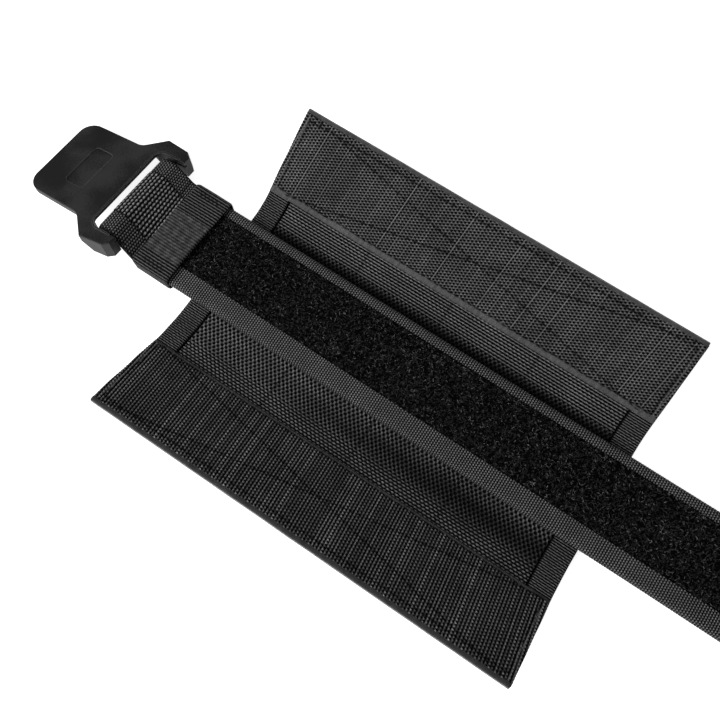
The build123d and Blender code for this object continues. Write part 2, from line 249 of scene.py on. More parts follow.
def add_piece(name, points, faces, cloth, relief, material):
    """A mesh object with its flat cloth coordinates and its relief, 0 in a hollow and 1 on a thread."""
    mesh = bpy.data.meshes.new(name)
    mesh.from_pydata(points.reshape(-1, 3).tolist(), [], faces)
    own = mesh.attributes.new("cloth", "FLOAT_VECTOR", "POINT")
    own.data.foreach_set("vector", np.ascontiguousarray(cloth, np.float32).ravel())
    depth = mesh.attributes.new("relief", "FLOAT", "POINT")
    depth.data.foreach_set("value", np.ascontiguousarray(relief, np.float32).ravel())
    shell = bmesh.new()
    shell.from_mesh(mesh)
    bmesh.ops.recalc_face_normals(shell, faces=shell.faces)
    for face in shell.faces:
        face.smooth = True
    shell.to_mesh(mesh)
    shell.free()
    mesh.set_sharp_from_angle(angle=SHARP_EDGE)
    mesh.materials.append(material)
    piece = bpy.data.objects.new(name, mesh)
    bpy.context.scene.collection.objects.link(piece)
    return piece


def coarse(count, step):
    """Every so many of a row of points, with both ends; a step of 0 keeps the ends alone."""
    return sorted({0, count - 1} | (set(range(0, count, step)) if step else set()))


BACK_RELIEF = 0.6  # the shade of a sheet's plain back


def relief_sheet(name, lay, along, across, top, bottom, relief, material, back=(0, 0)):
    """A closed sheet with a finely shaped face and a plainer back, laid by a function.

    top, bottom and relief are numbers or arrays over along and across. back says how many steps of
    the face one step of the back takes, each way.
    """
    n, m = len(along), len(across)
    u, v = grid(along, across)
    top, bottom, relief = (np.broadcast_to(value, (n, m)).astype(float) for value in (top, bottom, relief))
    rows, columns = coarse(n, back[0]), coarse(m, back[1])
    bu, bv = grid(along[rows], across[columns])
    behind = bottom[np.ix_(rows, columns)]
    points = np.concatenate([lay(u, v, top).reshape(-1, 3), lay(bu, bv, behind).reshape(-1, 3)])
    flat_top = np.stack([u, v, top], axis=-1).reshape(-1, 3)
    flat_back = np.stack([bu, bv, behind], axis=-1).reshape(-1, 3)
    index = np.arange(n * m).reshape(n, m)
    back_index = n * m + np.arange(len(rows) * len(columns)).reshape(len(rows), len(columns))
    corners = [index[:-1, :-1], index[1:, :-1], index[1:, 1:], index[:-1, 1:]]
    faces = np.stack(corners, axis=-1).reshape(-1, 4).tolist()
    corners = [back_index[:-1, :-1], back_index[:-1, 1:], back_index[1:, 1:], back_index[1:, :-1]]
    faces += np.stack(corners, axis=-1).reshape(-1, 4).tolist()
    for j, k in ((0, 0), (m - 1, -1)):
        for a in range(len(rows) - 1):
            face_edge = index[rows[a] : rows[a + 1] + 1, j].tolist()
            faces.append(face_edge + [int(back_index[a + 1, k]), int(back_index[a, k])])
    for i, k in ((0, 0), (n - 1, -1)):
        for b in range(len(columns) - 1):
            face_edge = index[i, columns[b] : columns[b + 1] + 1].tolist()
            faces.append(face_edge + [int(back_index[k, b + 1]), int(back_index[k, b])])
    cloth = np.concatenate([flat_top, flat_back])
    shade = np.concatenate([relief.ravel(), np.full(behind.size, BACK_RELIEF)])
    return add_piece(name, points, faces, cloth, shade, material)


def thread_piece(name, lay, lines, radius, sides, material, relief=1.0):
    """Thin tubes along lines given flat: an array of lines, points and (along, across, height)."""
    lines = np.asarray(lines, float)
    count, steps = lines.shape[:2]
    run = np.gradient(lines, axis=1)
    run /= np.linalg.norm(run, axis=2, keepdims=True) + 1e-12
    aside = np.cross(run, (0.0, 0.0, 1.0))
    aside /= np.linalg.norm(aside, axis=2, keepdims=True) + 1e-12
    over = np.cross(aside, run)
    turn = 2 * math.pi * np.arange(sides) / sides
    ring = np.cos(turn)[:, None] * aside[:, :, None, :] + np.sin(turn)[:, None] * over[:, :, None, :]
    flat = lines[:, :, None, :] + radius * ring
    index = np.arange(count * steps * sides).reshape(count, steps, sides)
    after = np.roll(index, -1, axis=2)
    corners = [index[:, :-1], after[:, :-1], after[:, 1:], index[:, 1:]]
    faces = np.stack(corners, axis=-1).reshape(-1, 4).tolist()
    faces += index[:, 0, ::-1].tolist() + index[:, -1, :].tolist()
    points = lay(flat[..., 0], flat[..., 1], flat[..., 2])
    shade = np.broadcast_to(relief, (count, steps, sides))
    return add_piece(name, points, faces, flat.reshape(-1, 3), shade, material)


# --- weaves --------------------------------------------------------------------------------------------
def woven(along, across, pitch_along, pitch_across, waist=1.0):
    """Staggered threads: 1 on each crown and 0 between. A small waist runs them into ribs along."""
    row = np.floor(across / pitch_across)
    place = along / pitch_along + 0.5 * (row % 2)
    place = 2 * (place - np.round(place))
    beside = 2 * (across / pitch_across - row - 0.5)
    crown = np.sqrt(np.clip(1 - place**2, 0, 1))
    return (1 - waist + waist * crown) * np.sqrt(np.clip(1 - beside**2, 0, 1))


class Lattice(NamedTuple):
    """How strong a weave's ribs are, and the pits between them and the dots on them."""

    rib: float
    pit: float
    dot: float

    def towards(self, other, share):
        """This weave turning into another one by a share."""
        return Lattice(*(mix(own, its, share) for own, its in zip(self, other)))


def lattice(along, across, pitch_along, pitch_across, weave):
    """Ribs along the cloth with staggered pits and dots: 0 in a hollow and 1 on a crown."""
    row, turn = math.pi * across / pitch_across, 2 * math.pi * along / pitch_along
    between, on_rib = weave.pit * np.sin(row), weave.dot * np.cos(row)
    wave = weave.rib * np.cos(2 * row) + (between + on_rib) * np.cos(turn)
    middle, swing = 0.37, 0.95
    return np.sqrt(np.clip(middle + swing * wave, 0, 1))


def groove(distance, width):
    """1 in the middle of a line and 0 away from it."""
    return np.exp(-((distance / width) ** 2))


def drift(along, across, size, seed):
    """A slow random swell between -1 and 1, over patches of a size. Each use has a seed of its own."""
    chance = np.random.default_rng(seed)
    waves, total = 6, 0.0
    for _ in range(waves):
        angle, phase = chance.uniform(0, 2 * math.pi, 2)
        scale = size * chance.uniform(0.6, 1.7)
        total = total + np.sin((along * math.cos(angle) + across * math.sin(angle)) / scale + phase)
    return total / waves


# --- finishes ------------------------------------------------------------------------------------------
CROWN_STEEPNESS = 3.5  # the light crown colour stays on the tops of the crowns as a painted highlight, and the hollows take painted shade
YARN_SPECULAR = 0.06  # a mass of fine fibres scatters nearly all of its gloss


def linear(hex_colour):
    """An sRGB hex colour as linear red, green, blue and alpha."""
    channels = [int(hex_colour[place : place + 2], 16) / 255 for place in (1, 3, 5)]
    return tuple(c / 12.92 if c <= 0.04045 else ((c + 0.055) / 1.055) ** 2.4 for c in channels) + (1.0,)


def node(tree, kind, settings=None, links=None):
    """Add a node, set its properties and its inputs' values, and link inputs to (node, output) pairs."""
    made = tree.nodes.new(kind)
    for key, value in (settings or {}).items():
        if isinstance(key, str) and key in made.bl_rna.properties:
            setattr(made, key, value)
        else:
            made.inputs[key].default_value = value
    for key, (source, output) in (links or {}).items():
        tree.links.new(source.outputs[output], made.inputs[key])
    return made


def new_material(name, roughness, specular):
    """An empty material with a Principled shader, and that shader."""
    material = bpy.data.materials.new(name)
    material.use_nodes = True
    shader = material.node_tree.nodes["Principled BSDF"]
    shader.inputs["Roughness"].default_value = roughness
    shader.inputs["Specular IOR Level"].default_value = specular
    return material, shader


def noise_at(tree, place, size, detail):
    """Noise of about a size in metres at a place, which is a (node, output) pair."""
    return node(tree, "ShaderNodeTexNoise", {"Scale": 1 / size, "Detail": detail}, {"Vector": place})


def thread_colour(tree, cloth, hollow, crown, unevenness):
    """Colour from hollow to crown by a sheet's relief, which paints shade into the hollows and a highlight
    on the crowns, uneven by (size, share) pairs.
    """
    relief = node(tree, "ShaderNodeAttribute", {"attribute_name": "relief"})
    steep = node(tree, "ShaderNodeMath", {"operation": "POWER", 1: CROWN_STEEPNESS}, {0: (relief, "Fac")})
    ends = {"data_type": "RGBA", 6: hollow, 7: crown}
    colour = (node(tree, "ShaderNodeMix", ends, {0: (steep, 0)}), 2)
    for size, share in unevenness:
        noise = noise_at(tree, (cloth, "Vector"), size, 3.0)
        spread = {"From Min": 0.3, "From Max": 0.7, "To Min": 1 - share, "To Max": 1 + share}
        gain = node(tree, "ShaderNodeMapRange", spread, {"Value": (noise, "Fac")})
        links = {0: colour, 1: (gain, "Result")}
        colour = (node(tree, "ShaderNodeVectorMath", {"operation": "MULTIPLY"}, links), 0)
    return colour


def weave_bump(tree, cloth, pitch, depth, shader):
    """Fine crossed threads, for a back or an edge whose threads aren't in the mesh."""
    scale = {"operation": "SCALE", "Scale": math.pi / pitch}
    turned = node(tree, "ShaderNodeVectorMath", scale, {0: (cloth, "Vector")})
    parts = node(tree, "ShaderNodeSeparateXYZ", {}, {0: (turned, 0)})
    waves = [node(tree, "ShaderNodeMath", {"operation": "SINE"}, {0: (parts, axis)}) for axis in ("X", "Y")]
    crossed = node(tree, "ShaderNodeMath", {"operation": "MULTIPLY"}, {0: (waves[0], 0), 1: (waves[1], 0)})
    bump = node(tree, "ShaderNodeBump", {"Distance": depth, "Strength": 0.8}, {"Height": (crossed, 0)})
    tree.links.new(bump.outputs[0], shader.inputs["Normal"])


def fabric(name, hollow, crown, pitch, depth, roughness=0.7, patch=12 * MM, fleck=0.5 * MM):
    """A fabric finish: colour by relief, with painted shade in the hollows and a painted highlight on the
    crowns, uneven in patches and flecks, and a fine crossed bump.
    """
    material, shader = new_material(name, roughness, YARN_SPECULAR)
    tree = material.node_tree
    cloth = node(tree, "ShaderNodeAttribute", {"attribute_name": "cloth"})
    colour, output = thread_colour(tree, cloth, hollow, crown, ((patch, 0.14), (fleck, 0.3)))
    tree.links.new(colour.outputs[output], shader.inputs["Base Color"])
    weave_bump(tree, cloth, pitch, depth, shader)
    return material


@cache
def moulded_nylon():
    """Nylon 66, injection moulded in a spark-eroded mould: an even black with a fine, soft-edged grain, and
    a painted highlight along every edge.
    """
    look = bpy.context.scene.pull_tab_looks
    material, shader = new_material("nylon_66_moulded_fine_grain", roughness=0.52, specular=0.35)
    tree = material.node_tree
    place = (node(tree, "ShaderNodeTexCoord"), "Object")
    grain = noise_at(tree, place, look.grain, 4.0)
    flow = noise_at(tree, place, look.flow, 2.0)
    adding = {"operation": "MULTIPLY_ADD", 1: 0.6}
    both = node(tree, "ShaderNodeMath", adding, {0: (grain, "Fac"), 2: (flow, "Fac")})
    contrast = {"From Min": 0.71, "From Max": 0.89, "To Min": 0.0, "To Max": 1.0}
    share = node(tree, "ShaderNodeMapRange", contrast, {"Value": (both, 0)})
    ends = {"data_type": "RGBA", 6: look.colour_dark, 7: look.colour_light}
    grained = node(tree, "ShaderNodeMix", ends, {0: (share, 0)})
    # painted highlight: where the bevel normal leaves the true normal, at convex and concave edges alike,
    # the colour lightens
    rounded = node(tree, "ShaderNodeBevel", {"samples": 8, "Radius": look.edge_width})
    flat = node(tree, "ShaderNodeNewGeometry")
    links = {0: (rounded, "Normal"), 1: (flat, "True Normal")}
    match = node(tree, "ShaderNodeVectorMath", {"operation": "DOT_PRODUCT"}, links)
    edge = node(tree, "ShaderNodeMapRange", {"From Min": 0.99, "From Max": 0.8}, {"Value": (match, "Value")})
    painted_edge_highlight = {"data_type": "RGBA", 7: look.colour_edge}
    colour = node(tree, "ShaderNodeMix", painted_edge_highlight, {0: (edge, 0), 6: (grained, 2)})
    gloss = node(tree, "ShaderNodeMapRange", {"To Min": 0.46, "To Max": 0.62}, {"Value": (grain, "Fac")})
    bump = node(tree, "ShaderNodeBump", {"Distance": 0.06 * MM, "Strength": 0.5}, {"Height": (grain, "Fac")})
    tree.links.new(colour.outputs[2], shader.inputs["Base Color"])
    tree.links.new(gloss.outputs[0], shader.inputs["Roughness"])
    tree.links.new(bump.outputs[0], shader.inputs["Normal"])
    return material


@cache
def loop_ground():
    """Nylon knit under the loop pile: almost black, because the pile shades it."""
    look = bpy.context.scene.strap_looks
    dark, light = look.ground_dark, look.ground_light
    return fabric("nylon_knit_ground", dark, light, 0.5 * MM, 0.05 * MM, roughness=0.95)


@cache
def loop_fibre():
    """Nylon loops, napped by brushing: curly dull fibres with a few that catch the light."""
    look = bpy.context.scene.strap_looks
    dark, light = look.ground_light, look.loop_light
    return fabric("nylon_loop_pile_napped", dark, light, 0.6 * MM, 0.0, patch=6 * MM, fleck=0.9 * MM)


@cache
def binding_tape():
    """Polyester grosgrain, woven with thick picks: dull ribs across the tape with dark gaps."""
    look = bpy.context.scene.strap_looks
    return fabric("polyester_grosgrain_ribbed", look.binding_dark, look.binding_light, 0.4 * MM, 0.04 * MM)


@cache
def strap_webbing():
    """Nylon webbing, plain woven: a close flat weave of dull filament yarn."""
    look = bpy.context.scene.webbing_looks
    return fabric("nylon_webbing_plain_woven", look.colour_dark, look.colour_light, 0.6 * MM, 0.08 * MM)


@cache
def wrap_cloth():
    """Ballistic nylon, basket woven from heavy filament yarn: round crowns over black gaps."""
    look = bpy.context.scene.wrap_looks
    return fabric("ballistic_nylon_basket_woven", look.cloth_dark, look.cloth_light, 0.9 * MM, 0.12 * MM)


@cache
def hook_tape():
    """Nylon hook tape, woven, cut and heat-set: rows of small hooks that read as light dots."""
    look = bpy.context.scene.hook_looks
    dark, light = look.hook_dark, look.hook_light
    return fabric("nylon_hook_tape_heat_set", dark, light, 0.5 * MM, 0.05 * MM, roughness=0.6)


@cache
def selvedge():
    """Nylon selvedge, flat woven with no hooks: smooth and a little lighter than the hooks."""
    look = bpy.context.scene.hook_looks
    return fabric("nylon_selvedge_flat_woven", look.edge_dark, look.edge_light, 0.35 * MM, 0.03 * MM)


@cache
def elastic():
    """Ribbed elastic, knitted over rubber: even soft ribs along the strap."""
    look = bpy.context.scene.webbing_looks
    return fabric("polyester_elastic_knitted", look.elastic_dark, look.elastic_light, 0.5 * MM, 0.05 * MM)


@cache
def sewing_thread():
    """Polyester thread, bonded: dark and slightly waxy."""
    look = bpy.context.scene.wrap_looks
    dark, light = look.thread_dark, look.thread_light
    return fabric("polyester_thread_bonded", dark, light, 0.3 * MM, 0.03 * MM, roughness=0.5)


# --- what a user may change --------------------------------------------------------------------------
def length(name, description, default):
    """A length property."""
    limits = {"min": 0.0, "precision": 5}
    return FloatProperty(name=name, description=description, default=default, unit="LENGTH", **limits)


def place_x(name, description, default):
    """A place along the strap."""
    return FloatProperty(name=name, description=description, default=default, unit="LENGTH", precision=5)


def amount(name, description, default, unit="NONE"):
    """A property for a strength, a share or a count to an area."""
    return FloatProperty(name=name, description=description, default=default, min=0.0, unit=unit)


def number_of(name, description, default):
    """A whole number."""
    return IntProperty(name=name, description=description, default=default, min=0)


def degrees(name, description, turn):
    """An angle that is given in degrees and kept in radians, as Blender keeps it."""
    default = math.radians(turn)
    return FloatProperty(name=name, description=description, default=default, unit="ROTATION")


def spot(name, description, default):
    """A place in the room."""
    settings = {"unit": "LENGTH", "precision": 5}
    return FloatVectorProperty(name=name, description=description, default=default, **settings)


def colour(name, description, hex_colour):
    """A colour property whose default is an sRGB hex value."""
    default = linear(hex_colour)
    return FloatVectorProperty(name=name, description=description, default=default, size=4, subtype="COLOR")


class StrapLooks(bpy.types.PropertyGroup):
    """The strap's loop face, its bindings and its underside."""

    rib_pitch: length("Binding rib", "From one rib of the binding to the next", 1.0 * MM)
    rib_waist: length("Binding pick", "Length of one pick along a rib", 0.97 * MM)
    rib_height: length("Binding rib height", "Height of the binding's ribs", 0.25 * MM)
    loop_density: amount("Loops", "Loops to a square millimetre", 1.3)
    loop_height: length("Loop height", "Height of the tallest loops over the ground", 0.62 * MM)
    loop_span: length("Loop span", "Distance between a loop's two feet", 0.95 * MM)
    loop_radius: length("Loop fibre", "Radius of a loop, coarse enough to show", 0.11 * MM)
    ground_dark: colour("Ground, hollow", "Colour deep in the pile", "#000000")
    ground_light: colour("Ground, crown", "Colour of the pile's ground", "#303030")
    loop_light: colour("Loop", "Colour of a loop's crown", "#7a7a7a")
    binding_dark: colour("Binding, gap", "Colour between the ribs", "#000000")
    binding_light: colour("Binding, rib", "Colour on the ribs", "#909090")


class WrapLooks(bpy.types.PropertyGroup):
    """The wrap's cloth, its hems and its stitching."""

    rib_pitch: length("Rib", "From one rib beside the hook tape to the next", 1.15 * MM)
    rib_pick: length("Rib pick", "Length of one float along a rib", 1.9 * MM)
    rib_height: length("Rib height", "Height of the ribs", 0.45 * MM)
    rib_count_far: number_of("Far ribs", "Ribs beside the far hook tape", 9)
    rib_count_near: number_of("Near ribs", "Ribs beside the near hook tape", 7)
    basket_pitch: length("Basket", "From one crown of the basket weave to the next", 1.27 * MM)
    basket_height: length("Basket height", "Height of the basket weave's crowns", 0.42 * MM)
    hem_length: length("Hem", "Length of the folded hem at each end", 9.55 * MM)
    hem_pitch: length("Hem rib", "From one rib of the hem to the next", 0.95 * MM)
    hem_height: length("Hem step", "Height of the hem's folded edge over the cloth", 0.45 * MM)
    tack_pitch: length("Tacks", "From one line of tacking across the wrap to the next", 38.1 * MM)
    cloth_dark: colour("Cloth, gap", "Colour between the yarns", "#000000")
    cloth_light: colour("Cloth, crown", "Colour on the yarns", "#8c8c8c")
    thread_radius: length("Thread", "Radius of the sewing thread", 0.2 * MM)
    thread_dark: colour("Thread, shaded", "Colour on a thread's underside", "#060606")
    thread_light: colour("Thread", "Colour on a thread's top", "#1c1c1c")


class HookLooks(bpy.types.PropertyGroup):
    """The hook tape on the two flaps, its selvedges and the flaps' rims."""

    column_pitch: length("Column", "From one column of hooks to the next", 1.25 * MM)
    hook_pitch: length("Hook", "From one hook to the next in its column", 1.28 * MM)
    column_lean: amount("Lean", "How far the columns lean off square, as a slope", 0.09)
    hook_height: length("Hook height", "Height of the hooks over their tape", 0.55 * MM)
    selvedge_far: length("Far selvedge", "Width of the bare strip beside the far ribs", 2.6 * MM)
    selvedge_near: length("Near selvedge", "Width of the bare strip beside the near ribs", 1.5 * MM)
    selvedge_outer: length("Outer selvedge", "Width of the bare strip beside each flap's rim", 0.1 * MM)
    end_margin: length("End margin", "From the flap's end to its hook tape", 0.15 * MM)
    stitch_inset: length("Border inset", "From the tape's edge to the border of stitches", 2.8 * MM)
    stitch_pitch: length("Stitch", "From one stitch to the next", 3.0 * MM)
    hook_dark: colour("Hooks, gap", "Colour between the hooks", "#020202")
    hook_light: colour("Hooks", "Colour of the hooks' crowns", "#989898")
    edge_dark: colour("Edge, shaded", "Colour in the selvedge's texture", "#1c1c1c")
    edge_light: colour("Edge", "Colour of the selvedge and the rim", "#909090")


class WebbingLooks(bpy.types.PropertyGroup):
    """The webbing loop, the keeper and the rows under the wrap."""

    seam_shift: length("Seam shift", "From the loop's middle to the middle of its bolder weave", 0.7 * MM)
    bold_run: length("Bold run", "From one crown of the bolder weave to the next along its rib", 1.85 * MM)
    bold_pitch: length("Bold weave", "From one crown of the loop's middle weave to the next", 1.47 * MM)
    fine_pitch: length("Fine weave", "From one crown of the loop's outer weave to the next", 1.05 * MM)
    crown_height: length("Crown height", "Height of the webbing's crowns", 0.3 * MM)
    seam_half: length("Seam", "From the loop's centre line to each of its seams", 11.2 * MM)
    keeper_rib: length("Keeper rib", "From one rib of the keeper to the next", 1.17 * MM)
    keeper_middle: length("Keeper middle", "Half width of the keeper's finer middle", 9.9 * MM)
    keeper_patch_margin: length("Keeper margin", "From the keeper's ends to its doubled middle", 0.0 * MM)
    keeper_corner: length("Keeper corner", "Radius that the keeper turns at the strap's edges", 1.8 * MM)
    keeper_skew: amount("Keeper skew", "How far the keeper lies out of square, as a slope", 0.045)
    keeper_square: length("Keeper square", "How far off its middle the keeper keeps its place", 12.0 * MM)
    keeper_tack: length("Keeper tack", "From the keeper's middle to each of its tacks", 17.0 * MM)
    square_x: place_x("Square", "Where the loop's plies leave the strap", -112.1 * MM)
    eye_radius: length("Eye", "Radius of the webbing's middle round the bar", 3.1 * MM)
    eye_shift: length("Eye shift", "The loop lies this far off the bar's middle", 0.6 * MM)
    eye_tail: length("Eye tail", "From the bar's axis to where the plies draw together", 4.5 * MM)
    ear_side: length("Ear side", "The webbing stays inside this beside the bar", 20.5 * MM)
    ear_reach: length("Ear reach", "How far from the bar the ears reach", 9.2 * MM)
    cross_seam: length("Cross seam", "From the loop's square end to the seam across it", 1.5 * MM)
    colour_dark: colour("Webbing, gap", "Colour between the webbing's yarns", "#000000")
    colour_light: colour("Webbing, crown", "Colour on the webbing's yarns", "#989898")
    elastic_dark: colour("Keeper, gap", "Colour between the keeper's ribs", "#040404")
    elastic_light: colour("Keeper, rib", "Colour on the keeper's ribs", "#6a6a6a")


class PullTabLooks(bpy.types.PropertyGroup):
    """The moulded pull tab."""

    grain: length("Grain", "Width of the moulded grain, coarse enough to show", 0.5 * MM)
    flow: length("Flow", "Width of the soft patches that the melt leaves", 20.0 * MM)
    # the width and the colour of the painted highlight along the tab's edges
    edge_width: length("Edge", "How far in the edges are highlighted", 0.25 * MM)
    colour_edge: colour("Edge colour", "Colour of the highlighted edges", "#707070")
    colour_dark: colour("Dark", "Colour in the grain's hollows", "#060606")
    colour_light: colour("Light", "Colour on the grain's crowns", "#292929")


class StageLooks(bpy.types.PropertyGroup):
    """The floor, the lights and the camera."""

    floor_size: length("Floor", "Width of the floor", 4.0)
    floor_colour: colour("Floor colour", "Colour of the matte paper floor", "#f6f6f6")
    table_glow: amount("Table glow", "Light that comes up through the floor", 0.85)
    sky: amount("Sky", "Strength of the light from all round", 0.2)
    key_size: length("Key size", "Width of the key light", 0.5)
    key_power: amount("Key light", "Power of the key light", 8.4, "POWER")
    fill_size: length("Fill size", "Width of the fill light", 1.2)
    fill_power: amount("Fill light", "Power of the fill light", 0.8, "POWER")
    key_place: spot("Key place", "Where the key light hangs", (-0.55, -0.52, 0.68))
    fill_place: spot("Fill place", "Where the fill light hangs", (0.5, 0.7, 1.1))
    camera_place: spot("Camera", "Where the camera stands", (0.0316, -0.07155, 0.299))
    azimuth: degrees("Azimuth", "Camera's turn round the object", 34.749)
    elevation: degrees("Elevation", "Camera's height angle", 73.783)
    roll: degrees("Roll", "Camera's roll", -1.146)
    lens: amount("Lens", "Focal length on a 36 mm sensor", 40.69, "CAMERA")


# --- pieces of the strap -----------------------------------------------------------------------------
def strap_spans():
    """Each length of the strap's fabric: its number, its start and its end."""
    return [(number, STRAP.cuts[number - 1], STRAP.cuts[number]) for number in (1, 2, 3)]


def strap_nodes(number, *kinds):
    """The CAD nodes of a length of the strap's fabric."""
    tails = [f"tail_{number}_{kind}" for kind in kinds]
    return tails + ([f"strap_front_{kind}" for kind in kinds] if number == 1 else [])


BINDING_PLY = 0.6 * MM  # thickness of the binding's tape
RIB_LEVEL = 0.6  # the part of a rib's height that lies under the solid's own surface


class BindingSection:
    """The C-shaped section of a binding: in along its top, round the strap's edge and back below."""

    def __init__(self, sign, lip):
        self.sign, self.radius = sign, STRAP_THICK / 2
        self.flat = lip - self.radius
        self.length = 2 * self.flat + math.pi * self.radius

    def lay(self, along, across, height):
        """Across is the distance round the section from the top's inner edge."""
        turn = np.clip((across - self.flat) / self.radius, 0, math.pi)
        inward = np.maximum(self.flat - across, 0) + np.maximum(across - self.length + self.flat, 0)
        round_radius = self.radius + height
        aside = STRAP_HALF - self.radius - inward + round_radius * np.sin(turn)
        return STRAP.lay(along, self.sign * aside, round_radius * np.cos(turn))


def build_strap_webbing():
    """The strap's inner webbing, with its woven underside."""
    near_lip, far_lip = PILE_LOW.y - STRAP_LOW.y, STRAP_HIGH.y - PILE_HIGH.y
    half, under_tape = STRAP_HALF - BINDING_PLY, STRAP_THICK / 2 - BINDING_PLY
    step, depth = 0.42 * MM, 0.25 * MM
    across = spaced(-half, half, step)
    in_middle = (across > near_lip - STRAP_HALF) & (across < STRAP_HALF - far_lip)
    for number, start, end in strap_spans():
        along = spaced(start, end, step)
        u, v = grid(along, across)
        crowns = woven(u, v, 1.7 * MM, 0.85 * MM, waist=0.8)
        face = -under_tape - np.where(in_middle, depth + depth * crowns, 0.0)
        piece = relief_sheet(
            f"strap_webbing_{number}", STRAP.lay, along, across, face, under_tape - 0.1 * MM, crowns,
            strap_webbing(), (12, 0),
        )
        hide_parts(*strap_nodes(number, "core", "backing"))
        STRAP.blend(piece, number)


LOOP_POINTS = 5


def pile_lines(look, start, end, low, high, seed):
    """The flat lines of the pile's loops over one length of the strap, and how each one shines."""
    chance = np.random.default_rng(seed)
    count = int(look.loop_density * (end - start) * (high - low) / MM**2)
    share = np.linspace(0, 1, LOOP_POINTS)[None, :]
    turn = chance.uniform(0, 2 * math.pi, (count, 1))
    span = look.loop_span * chance.uniform(0.5, 1.5, (count, 1))
    rise = look.loop_height * chance.uniform(0.35, 1.0, (count, 1))
    curl = look.loop_span * chance.uniform(-0.5, 0.5, (count, 1)) * np.sin(math.pi * share)
    twist = 0.12 * look.loop_span * np.sin(2 * math.pi * share + chance.uniform(0, 6, (count, 1)))
    forward, aside = span * (share - 0.5) + twist, curl
    margin = 0.4 * MM
    along = chance.uniform(start + margin, end - margin, (count, 1))
    across = chance.uniform(low + margin, high - margin, (count, 1))
    x = np.clip(along + forward * np.cos(turn) - aside * np.sin(turn), start, end)
    y = np.clip(across + forward * np.sin(turn) + aside * np.cos(turn), low, high)
    foot = STRAP_THICK / 2 - 0.05 * MM
    z = foot + rise * np.sin(math.pi * share) ** 0.8
    shine = chance.uniform(0, 1, (count, 1, 1)) ** 2.2 * np.ones((1, share.size, 1))
    return np.stack([x, y, z], axis=-1), shine


def build_loop_face(look):
    """The pile's dark ground, and the brushed loops that stand on it."""
    low, high = PILE_LOW.y - STRAP_Y, PILE_HIGH.y - STRAP_Y
    step, depth = 0.45 * MM, 0.65 * MM
    across = spaced(low, high, step)
    for number, start, end in strap_spans():
        start = max(start, PILE_LOW.x)
        along = spaced(start, end, step)
        u, v = grid(along, across)
        uneven = np.random.default_rng(20 + number).uniform(0, 1, u.shape) ** 1.5
        top = STRAP_THICK / 2 + 0.3 * MM * uneven + 0.06 * MM * drift(u, v, 3 * MM, 5)
        ground = relief_sheet(
            f"pile_ground_{number}", STRAP.lay, along, across, top, STRAP_THICK / 2 - depth, uneven,
            loop_ground(), (8, 0),
        )
        lines, shine = pile_lines(look, start, end, low, high, 40 + number)
        name = f"pile_loops_{number}"
        loops = thread_piece(name, STRAP.lay, lines, look.loop_radius, 3, loop_fibre(), shine)
        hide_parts(*strap_nodes(number, "loop_tape"))
        for piece in (ground, loops):
            STRAP.blend(piece, number)


def build_bindings(look):
    """The grosgrain folded over each edge of the strap, and over its end."""
    lips = {"near": PILE_LOW.y - STRAP_LOW.y, "far": STRAP_HIGH.y - PILE_HIGH.y}
    weave = Lattice(rib=0.55, pit=0.45, dot=0.6)
    for side, lip in lips.items():
        section = BindingSection(SIDES[side], lip)
        across = spaced(0, section.length, look.rib_waist / 4)
        for number, start, end in strap_spans():
            along = spaced(start, end, look.rib_pitch / 4)
            u, v = grid(along, across)
            lean = u + 0.25 * MM * drift(u, v, 5 * MM, 13)
            sway = v + 0.3 * MM * drift(u, v * 0, 6 * MM, 15)
            crowns = lattice(sway, lean, look.rib_waist, look.rib_pitch, weave)
            height = look.rib_height * (crowns - RIB_LEVEL) + 0.05 * MM * drift(u, v, 4 * MM, 11)
            piece = relief_sheet(
                f"{side}_binding_{number}", section.lay, along, across, height, -BINDING_PLY, crowns,
                binding_tape(), (12, 2),
            )
            front = [f"strap_front_{side}_binding"] if number == 1 else []
            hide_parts(f"tail_{number}_bindings", *front)
            STRAP.blend(piece, number)


def build_strap_end(look):
    """The binding folded over the tail's end, and the hook patch under it."""
    radius, run = STRAP_THICK / 2, STRAP.end - STRAP.end_binding
    flat = run - radius
    whole = 2 * flat + math.pi * radius

    def fold_over(along, across, height):
        """Along is across the strap here, and across runs over its end."""
        turn = np.clip((across - flat) / radius, 0, math.pi)
        inward = np.maximum(flat - across, 0) + np.maximum(across - whole + flat, 0)
        x = STRAP.end - radius - inward + (radius + height) * np.sin(turn)
        return STRAP.lay(x, along, (radius + height) * np.cos(turn))

    along = spaced(-STRAP_HALF, STRAP_HALF, look.rib_pitch / 4)
    across = spaced(0, whole, look.rib_waist / 3)
    u, v = grid(along, across)
    crowns = woven(v, u, look.rib_waist, look.rib_pitch, waist=0.5)
    top = look.rib_height * (crowns - RIB_LEVEL)
    cap = relief_sheet(
        "strap_end_fold", fold_over, along, across, top, -1.9 * MM, crowns, binding_tape(), (12, 2)
    )
    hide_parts("tail_end_binding")
    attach(cap, "tail_3")

    hooks = bpy.context.scene.hook_looks
    low, high = PILE_LOW.y - STRAP_Y, PILE_HIGH.y - STRAP_Y
    along = spaced(STRAP.patch, STRAP.end_binding, hooks.column_pitch / 3)
    across = spaced(low, high, hooks.hook_pitch / 3)
    u, v = grid(along, across)
    crowns = woven(v, u, hooks.hook_pitch, hooks.column_pitch, waist=0.9)
    patch = relief_sheet(
        "tail_hook_face", STRAP.lay, along, across, -radius + 0.2 * MM - 0.2 * MM * crowns,
        -radius + 0.62 * MM, crowns, hook_tape(), (0, 0),
    )
    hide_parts("tail_hook_patch")
    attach(patch, "tail_3")


# --- webbing loop, keeper and pull tab ---------------------------------------------------------------
def rows_at(places, known, table):
    """The rows of a table of vectors at places between those where they are known."""
    return np.stack([np.interp(places, known, table[:, k]) for k in range(3)], axis=-1)


